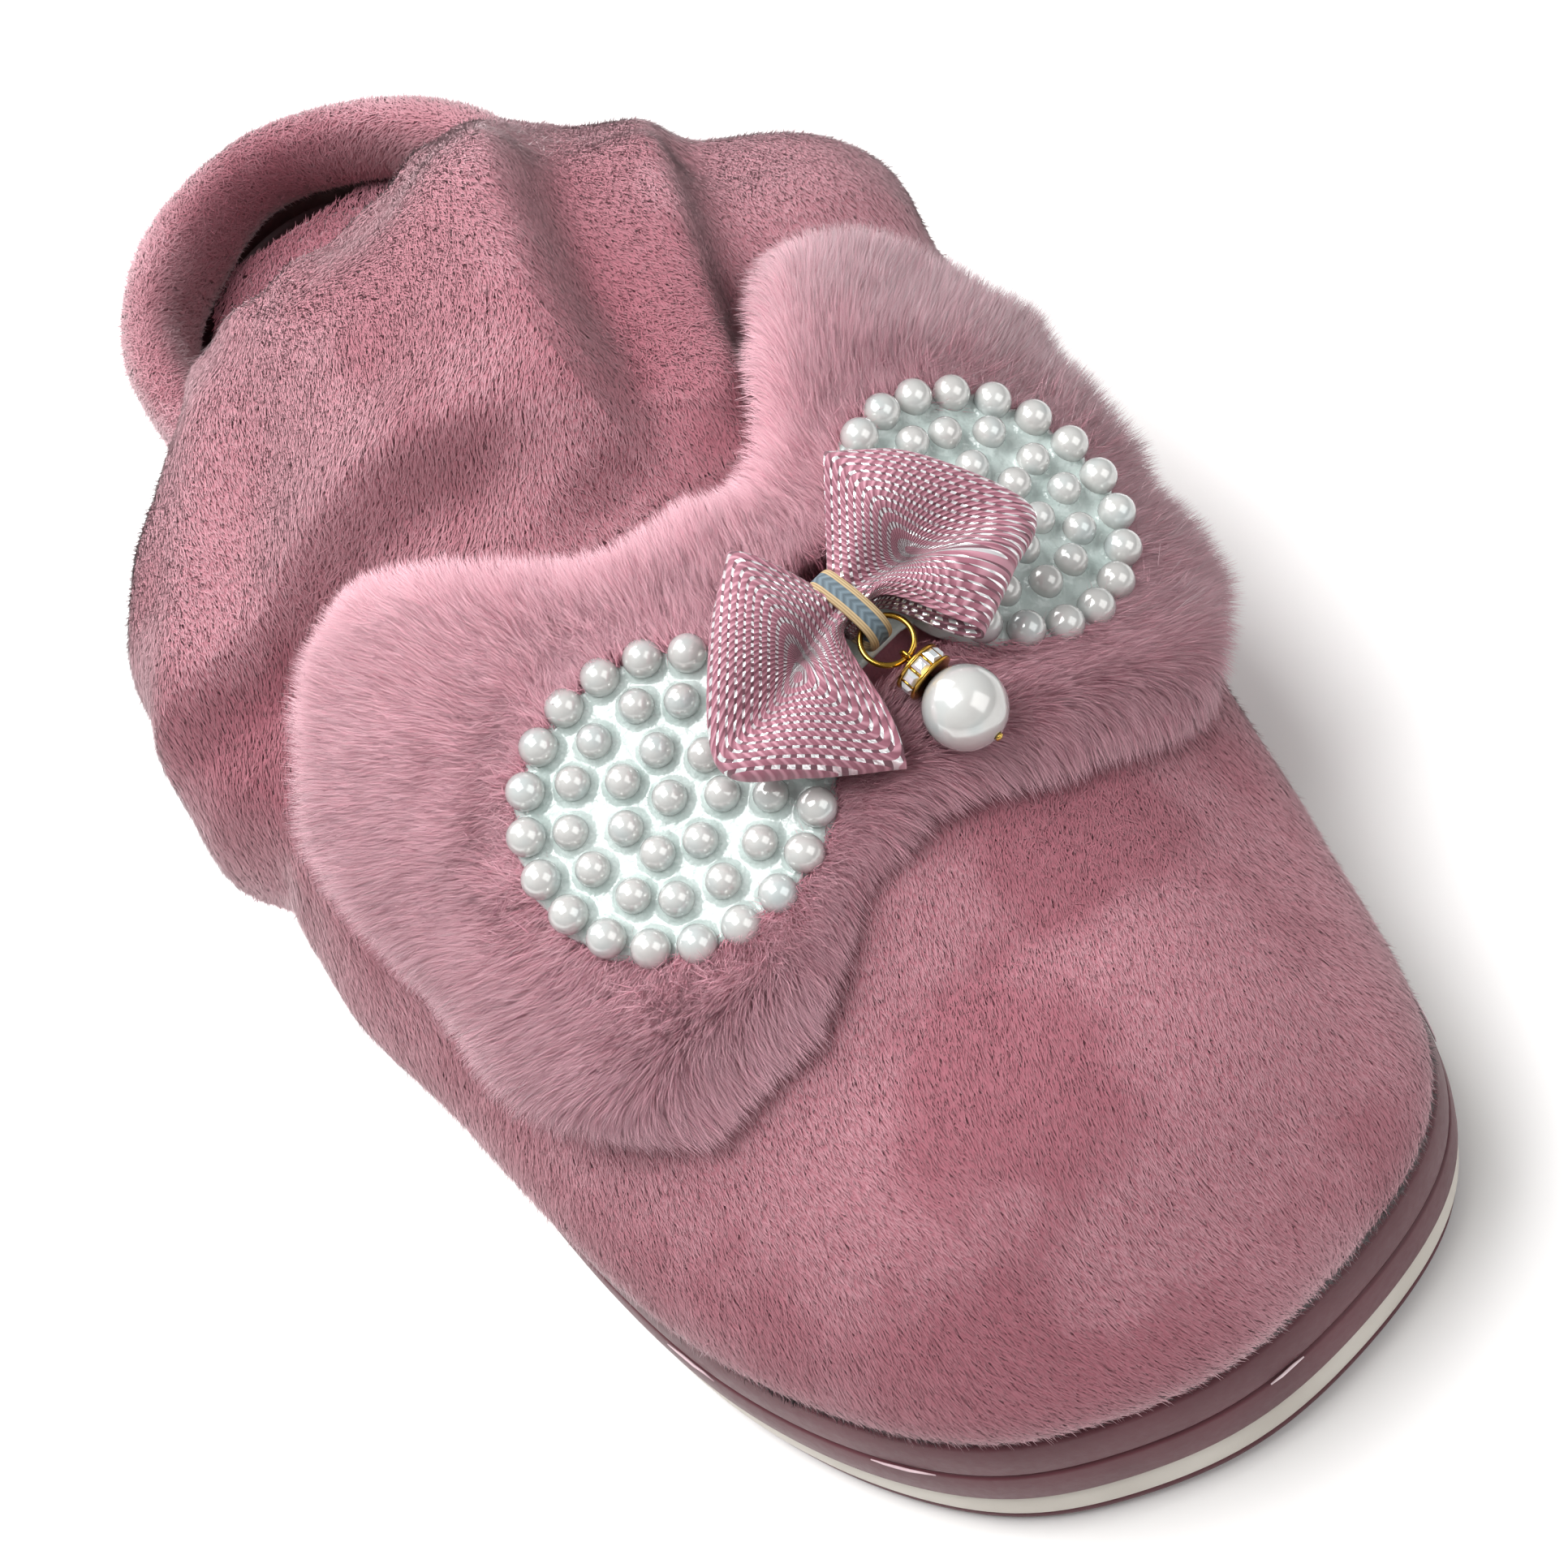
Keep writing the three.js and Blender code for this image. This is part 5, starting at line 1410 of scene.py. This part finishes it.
# Outer edge of each loop, fanned from the knot: [right, forward, height over the waist].
LOOP_EDGES = {
    "ribbon_loop_left": [(-5.2, -13.2, 2.6), (-15, -6.6, 3.0), (-24, 3.4, 1.0), (-18, 11.5, 1.2), (-9.2, 18.4, -0.4)],
    "ribbon_loop_right": [(11.5, -14.0, 2.8), (18.6, -5.5, 3.0), (23.2, 7.6, 1.2), (15.8, 11.5, 1.4), (8.2, 14.0, 0.2)],
}


CORD_PITCH = 0.87
DASH_RUN = 88.0


def cord_field(name, x, y):
    """Distance in from a loop's edges, which the cords follow, and the run along them."""
    edge = np.array(LOOP_EDGES[name], float)[:, :2]
    side = np.sign(edge[0, 0])
    corners = np.array([(side * 0.8, -3.2), edge[0], edge[2], edge[4], (side * 0.8, 3.2)])
    depth = 0.0
    for k in range(4):
        if side > 0 and k == 2:
            continue
        a, b = corners[k], corners[k + 1]
        run = unit(b - a)
        inward = np.array([-run[1], run[0]]) * side
        depth = depth + np.exp(-1.3 * np.clip((x - a[0]) * inward[0] + (y - a[1]) * inward[1], -2, 30))
    pocket = corners.mean(0)
    turn = np.arctan2(y - pocket[1], side * (x - pocket[0]))
    return -np.log(depth) / 1.3 + 1.0, turn * 9.0


def loop_sheet(name, side):
    """Points of a ribbon loop: across it by from the knot out over the top and back under."""
    edge = np.array(LOOP_EDGES[name], float)
    across, along = 200, 160
    u = np.linspace(0, 1, across)
    knots = np.array([0, 0.27, 0.5, 0.76, 1.0])
    rim = np.stack([along_rows(list(zip(knots, edge[:, k])), u) for k in range(3)], -1)
    pinch = np.stack([np.full(across, side * 0.8), mix(-3.2, 3.2, u), 1.7 * np.sin(np.pi * u)], -1)
    v = np.linspace(0, 1, along)[:, None]
    out = np.where(v < 0.5, 2 * v, 2 - 2 * v)
    ease = np.sin(out * math.pi / 2) ** 0.9
    sheet = pinch[None] * (1 - ease[..., None]) + rim[None] * ease[..., None]
    top = np.where(v < 0.5, 1.0, -1.0)
    arch = np.sin(math.pi * np.clip(out, 0, 1) ** 0.8)
    crown = np.sqrt(np.clip(1 - out**6, 0, 1))
    valley = 0.42 if side > 0 else 0.5
    crease = 3.6 * np.exp(-(((u[None] - valley) / 0.1) ** 2)) * np.exp(-(((out - 0.3) / 0.28) ** 2))
    puff = np.where(top > 0, 1.1 + 2.6 * arch, -1.0 - 0.5 * arch) * crown
    shoulders = 0.6 * np.cos(2 * math.pi * (u[None] - 0.25) * 2) * arch
    sheet[..., 2] += puff + np.where(top > 0, shoulders - crease, 0)
    ring_room = np.exp(-((np.abs(sheet[..., 0]) / 5.2) ** 4))
    ahead = np.maximum(sheet[..., 1] - 2.0, 0)
    lane, run = cord_field(name, sheet[..., 0], sheet[..., 1])
    sheet[..., 1] -= 0.97 * ring_room * ahead
    lane = lane / CORD_PITCH
    sheet[..., 2] += 0.16 * np.abs(np.sin(math.pi * lane)) ** 0.7 * top * crown
    return sheet, np.stack([lane / CORDS, run / DASH_RUN + 0.5], -1)


def make_ribbon(material):
    for name, side in (("ribbon_loop_left", -1), ("ribbon_loop_right", 1)):
        sheet, cords = loop_sheet(name, side)
        along, across, _ = sheet.shape
        world = layout(sheet[..., 0], sheet[..., 1], WAIST_UP + sheet[..., 2])
        faces = grid_faces(along, across)
        mesh = new_mesh(name, world.reshape(-1, 3), faces)
        layer = mesh.uv_layers.new(name="OFBake")
        place = cords.reshape(-1, 2)[faces.ravel()]
        layer.data.foreach_set("uv", place.astype(np.float32).ravel())
        piece = link_piece(f"{name}_cloth", mesh, "slipper", material, [name])
        thick = piece.modifiers.new("thickness", "SOLIDIFY")
        thick.thickness = 0.35 * MM
        thick.offset = 0


def oval_section(half_width, half_height, count=24, power=0.8):
    turn = np.linspace(0, 2 * math.pi, count, endpoint=False)
    c, s = np.cos(turn), np.sin(turn)
    return half_width * np.sign(c) * np.abs(c) ** power, half_height * np.sign(s) * np.abs(s) ** power


def make_waist(material):
    """The tied middle of the ribbon, inside the strap."""
    forward, up = oval_section(3.3, 2.0, 64, 1.0)
    ridged = 1 + 0.06 * np.abs(np.sin(np.linspace(0, 24 * math.pi, 64, endpoint=False)))
    sections = [layout(x, forward * ridged, WAIST_UP + up * ridged) for x in np.linspace(-2.2, 2.2, 9)]
    mesh = tube_mesh("ribbon_waist", sections, closed=False)
    layer = mesh.uv_layers.new(name="OFBake")
    values = []
    for polygon in mesh.polygons:
        for corner in polygon.vertices:
            row, column = divmod(corner, 64)
            values.append((column / 64, row / 9 * 0.15))
    layer.data.foreach_set("uv", np.array(values, np.float32).ravel())
    link_piece("ribbon_waist", mesh, "slipper", material)


def strap_path(count):
    """Points round the ribbon's waist, with the nose in front that the ring hangs on."""
    half = 0.45
    tall, deep = 2.2 + 0.3 + half, 3.6 + 0.3 + half
    nose = RING_BACK + RING_WIRE + 1.5
    spots = np.array(
        [
            (-deep, 0),
            (-deep * 0.72, -tall * 0.85),
            (0, -tall),
            (deep * 0.8, -tall * 0.92),
            (nose, -tall * 0.35),
            (nose + 0.3, RING_UP - WAIST_UP),
            (nose - 0.9, tall * 0.92),
            (deep * 0.45, tall * 1.1),
            (-deep * 0.2, tall * 1.03),
            (-deep * 0.8, tall * 0.75),
        ]
    )
    closed = np.concatenate([spots[-2:], spots, spots[:3]])
    gaps = np.linalg.norm(np.diff(closed, axis=0), axis=1) ** 0.5
    place = np.concatenate([[0], np.cumsum(gaps)])
    want = np.linspace(place[2], place[2 + len(spots)], count, endpoint=False)
    return np.stack([along_rows(list(zip(place, closed[:, k])), want) for k in range(2)], 1)


def make_strap(material):
    count = 120
    path = strap_path(count)
    run = np.roll(path, -1, 0) - np.roll(path, 1, 0)
    run /= np.linalg.norm(run, axis=1)[:, None]
    out = np.stack([run[:, 1], -run[:, 0]], 1)
    across, high = oval_section(1.6, 0.42, 22, 0.55)
    sections = []
    for k in range(count):
        forward = path[k, 0] + out[k, 0] * high
        up = path[k, 1] + out[k, 1] * high
        sections.append(layout(across, forward, WAIST_UP + up))
    mesh = tube_mesh("tie_strap", sections)
    layer = mesh.uv_layers.new(name="OFBake")
    values = []
    for polygon in mesh.polygons:
        rows = [c // 22 for c in polygon.vertices]
        wraps = max(rows) - min(rows) > 1
        for corner in polygon.vertices:
            row, column = divmod(corner, 22)
            row = count if wraps and row == 0 else row
            values.append((0.5 + across[column] / 3.2 * 0.98, row / count))
    layer.data.foreach_set("uv", np.array(values, np.float32).ravel())
    link_piece("tie_strap_braid", mesh, "slipper", material, ["tie_strap"])


# ---- charm ----
def charm_ring(centre_forward, radius, wire, plane, count=72, around=16):
    """Wire ring; plane 'flat' lies in the bow's plane, 'upright' stands along the pin."""
    sections = []
    roll = np.linspace(0, 2 * math.pi, around, endpoint=False)
    for turn in np.linspace(0, 2 * math.pi, count, endpoint=False):
        reach = radius + wire * np.cos(roll)
        if plane == "flat":
            right, up = reach * math.sin(turn), RING_UP + wire * np.sin(roll)
        else:
            right, up = wire * np.sin(roll), RING_UP + reach * math.sin(turn)
        sections.append(layout(right, centre_forward + reach * math.cos(turn), up))
    return sections


def turned(profile, count=48):
    """Sections of a body turned about the pin's axis from [radius, forward] corners."""
    turn = np.linspace(0, 2 * math.pi, count, endpoint=False)
    radius, forward = np.array(profile, float).T
    return [layout(radius * math.cos(t), forward, RING_UP + radius * math.sin(t)) for t in turn]


def rod_part(start, end, radius, count=16):
    turn = np.linspace(0, 2 * math.pi, count, endpoint=False)
    rings = [layout(radius * np.cos(turn), f, RING_UP + radius * np.sin(turn)) for f in (start, end)]
    points = np.concatenate(rings)
    faces = [tuple(f) for f in grid_faces(2, count, 0, False, True)]
    faces += [tuple(range(count)), tuple(range(count, 2 * count))]
    return points, faces


def section_part(sections, closed_rows=True):
    grid = np.asarray(sections)
    rows, columns, _ = grid.shape
    return grid.reshape(-1, 3), [tuple(f) for f in grid_faces(rows, columns, 0, closed_rows, True)]


def stone_part(turn, radius, size, start, end):
    """Square-cut stone set between the flanges at an angle round the axis."""
    middle = (start + end) / 2
    half = (end - start) / 2
    points = []
    for reach, share in ((radius - 1.3, 0.9), (radius - 0.25, 1.0), (radius + 0.12, 0.55)):
        for a, b in ((-1, -1), (1, -1), (1, 1), (-1, 1)):
            across = a * size / 2 * share
            forward = middle + b * half * share
            x = reach * math.cos(turn) - across * math.sin(turn)
            up = reach * math.sin(turn) + across * math.cos(turn)
            points.append(layout(x, forward, RING_UP + up))
    faces = [(0, 1, 2, 3), (8, 9, 10, 11)]
    for layer in (0, 4):
        for k in range(4):
            n = (k + 1) % 4
            faces.append((layer + k, layer + n, layer + 4 + n, layer + 4 + k))
    return np.array(points), faces


def make_charm(gold, crystal, pearl):
    ring = tube_mesh("ring", charm_ring(RING_CENTRE, RING_RADIUS, RING_WIRE, "flat"))
    link_piece("jump_ring_wire", ring, "ring", gold, ["jump_ring"])
    pin_end = DROP_START + 2 * DROP_RADIUS - 0.05
    pin = mesh_of(
        "pin",
        [
            section_part(charm_ring(RING_FRONT, 0.85, 0.25, "upright", 40, 12)),
            rod_part(RING_FRONT + 0.9, pin_end + 0.5, 0.25),
            rod_part(pin_end, pin_end + 0.4, 0.5),
        ],
    )
    link_piece("eye_pin_wire", pin, "pin", gold, ["eye_pin"])
    rim, bore = 3.2, 0.45
    start, end = RONDELLE_START, RONDELLE_START + RONDELLE_LENGTH
    flange = 0.42
    profile = [
        (bore, start), (rim * 0.9, start), (rim, start + 0.14), (rim, start + flange - 0.1),
        (rim * 0.94, start + flange), (1.6, start + flange), (1.6, end - flange),
        (rim * 0.94, end - flange), (rim, end - flange + 0.1), (rim, end - 0.14),
        (rim * 0.9, end), (bore, end),
    ]
    parts = [section_part(turned(profile))]
    stones = []
    count = 9
    for k in range(count):
        turn = 2 * math.pi * (k + 0.5) / count
        stones.append(stone_part(turn, 3.0, 1.55, start + flange + 0.06, end - flange - 0.06))
        post = 2 * math.pi * k / count
        x, up = 2.72 * math.cos(post), 2.72 * math.sin(post)
        ring_turn = np.linspace(0, 2 * math.pi, 8, endpoint=False)
        rings = [
            layout(x + 0.2 * np.cos(ring_turn), f, RING_UP + up + 0.2 * np.sin(ring_turn))
            for f in (start + flange * 0.5, end - flange * 0.5)
        ]
        faces = [tuple(f) for f in grid_faces(2, 8, 0, False, True)]
        parts.append((np.concatenate(rings), faces + [tuple(range(8)), tuple(range(8, 16))]))
    link_piece("rondelle_setting", mesh_of("rondelle", parts), "spacer", gold, ["rondelle"])
    stone_mesh = mesh_of("stones", stones)
    stone_mesh.polygons.foreach_set("use_smooth", np.zeros(len(stone_mesh.polygons), bool))
    link_piece("rondelle_cut_stones", stone_mesh, "spacer", crystal, ["rondelle_stones"])
    mouth = math.asin(bore / DROP_RADIUS)
    arc = np.linspace(mouth, math.pi - mouth, 40)
    profile = np.stack([DROP_RADIUS * np.sin(arc), DROP_START + DROP_RADIUS - DROP_RADIUS * np.cos(arc)], 1)
    drop = mesh_of("drop", [section_part(turned(profile, 64))])
    link_piece("drop_pearl_bead", drop, "pearl", pearl, ["drop_pearl"])


def make_slipper():
    mauve = moulded_finish("mauve rubber", "4E1C26", "5C2832", 0.5)
    ivory = moulded_finish("ivory foam rubber", "BDB6AC", "CFC9C0", 0.62)
    board = moulded_finish("pressed fibre board", "A08560", "BFA27B", 0.85, 0.15, 400)
    foam = moulded_finish("open-cell foam", "DCD7CB", "EFEBE1", 0.9, 0.3, 500)
    # The cement's pale colour is partly its own and partly a painted glint.
    cement = moulded_finish("dried cement", "C9A6AE", "E6D3D6", 0.15, 0.05, 500)
    lining = cloth_finish("brushed lining", "A9707C", "C08A96")
    backing = cloth_finish("plain backing cloth", "9C6A76", "AF7F8A")
    plush_ground = nap_ground_finish("plush ground", "9A5A66", "B27882")
    fur_ground = nap_ground_finish("fur ground", "A5606F", "BC7C8A")
    # Each pile's last tuple is its painted light: the colour it pales to, how much at the tip, how much at grazing
    # angles.
    plush = fibre_finish("plush pile", "A0606C", "A4626E", "C8929C", ("DFBDC3", 0.25, 0.45), 0.3)
    footbed_plush = fibre_finish("footbed pile", "984E5C", "A65866", "CE8E9C", ("DDB0BA", 0.3, 0.3), 0.3)
    fur = fibre_finish("fur pile", "A05666", "B86A7A", "E0A6B3", ("EECAD2", 0.55, 0.3), 0.3)
    resin, pearl, gold, crystal = milky_resin_finish(), pearl_finish(), gold_finish(), crystal_finish()
    make_sole(mauve, ivory, board, foam)
    make_cement_streaks(cement)
    make_upper(plush_ground, plush, lining)
    make_heel_rim(plush_ground, plush, foam)
    make_footbed(plush_ground, footbed_plush)
    make_fur_bow(fur_ground, fur, backing)
    make_applique(resin, pearl)
    ribbon = ribbon_finish()
    make_ribbon(ribbon)
    make_waist(ribbon)
    make_strap(strap_finish())
    make_charm(gold, crystal, pearl)


make_camera()
make_studio()
make_slipper()
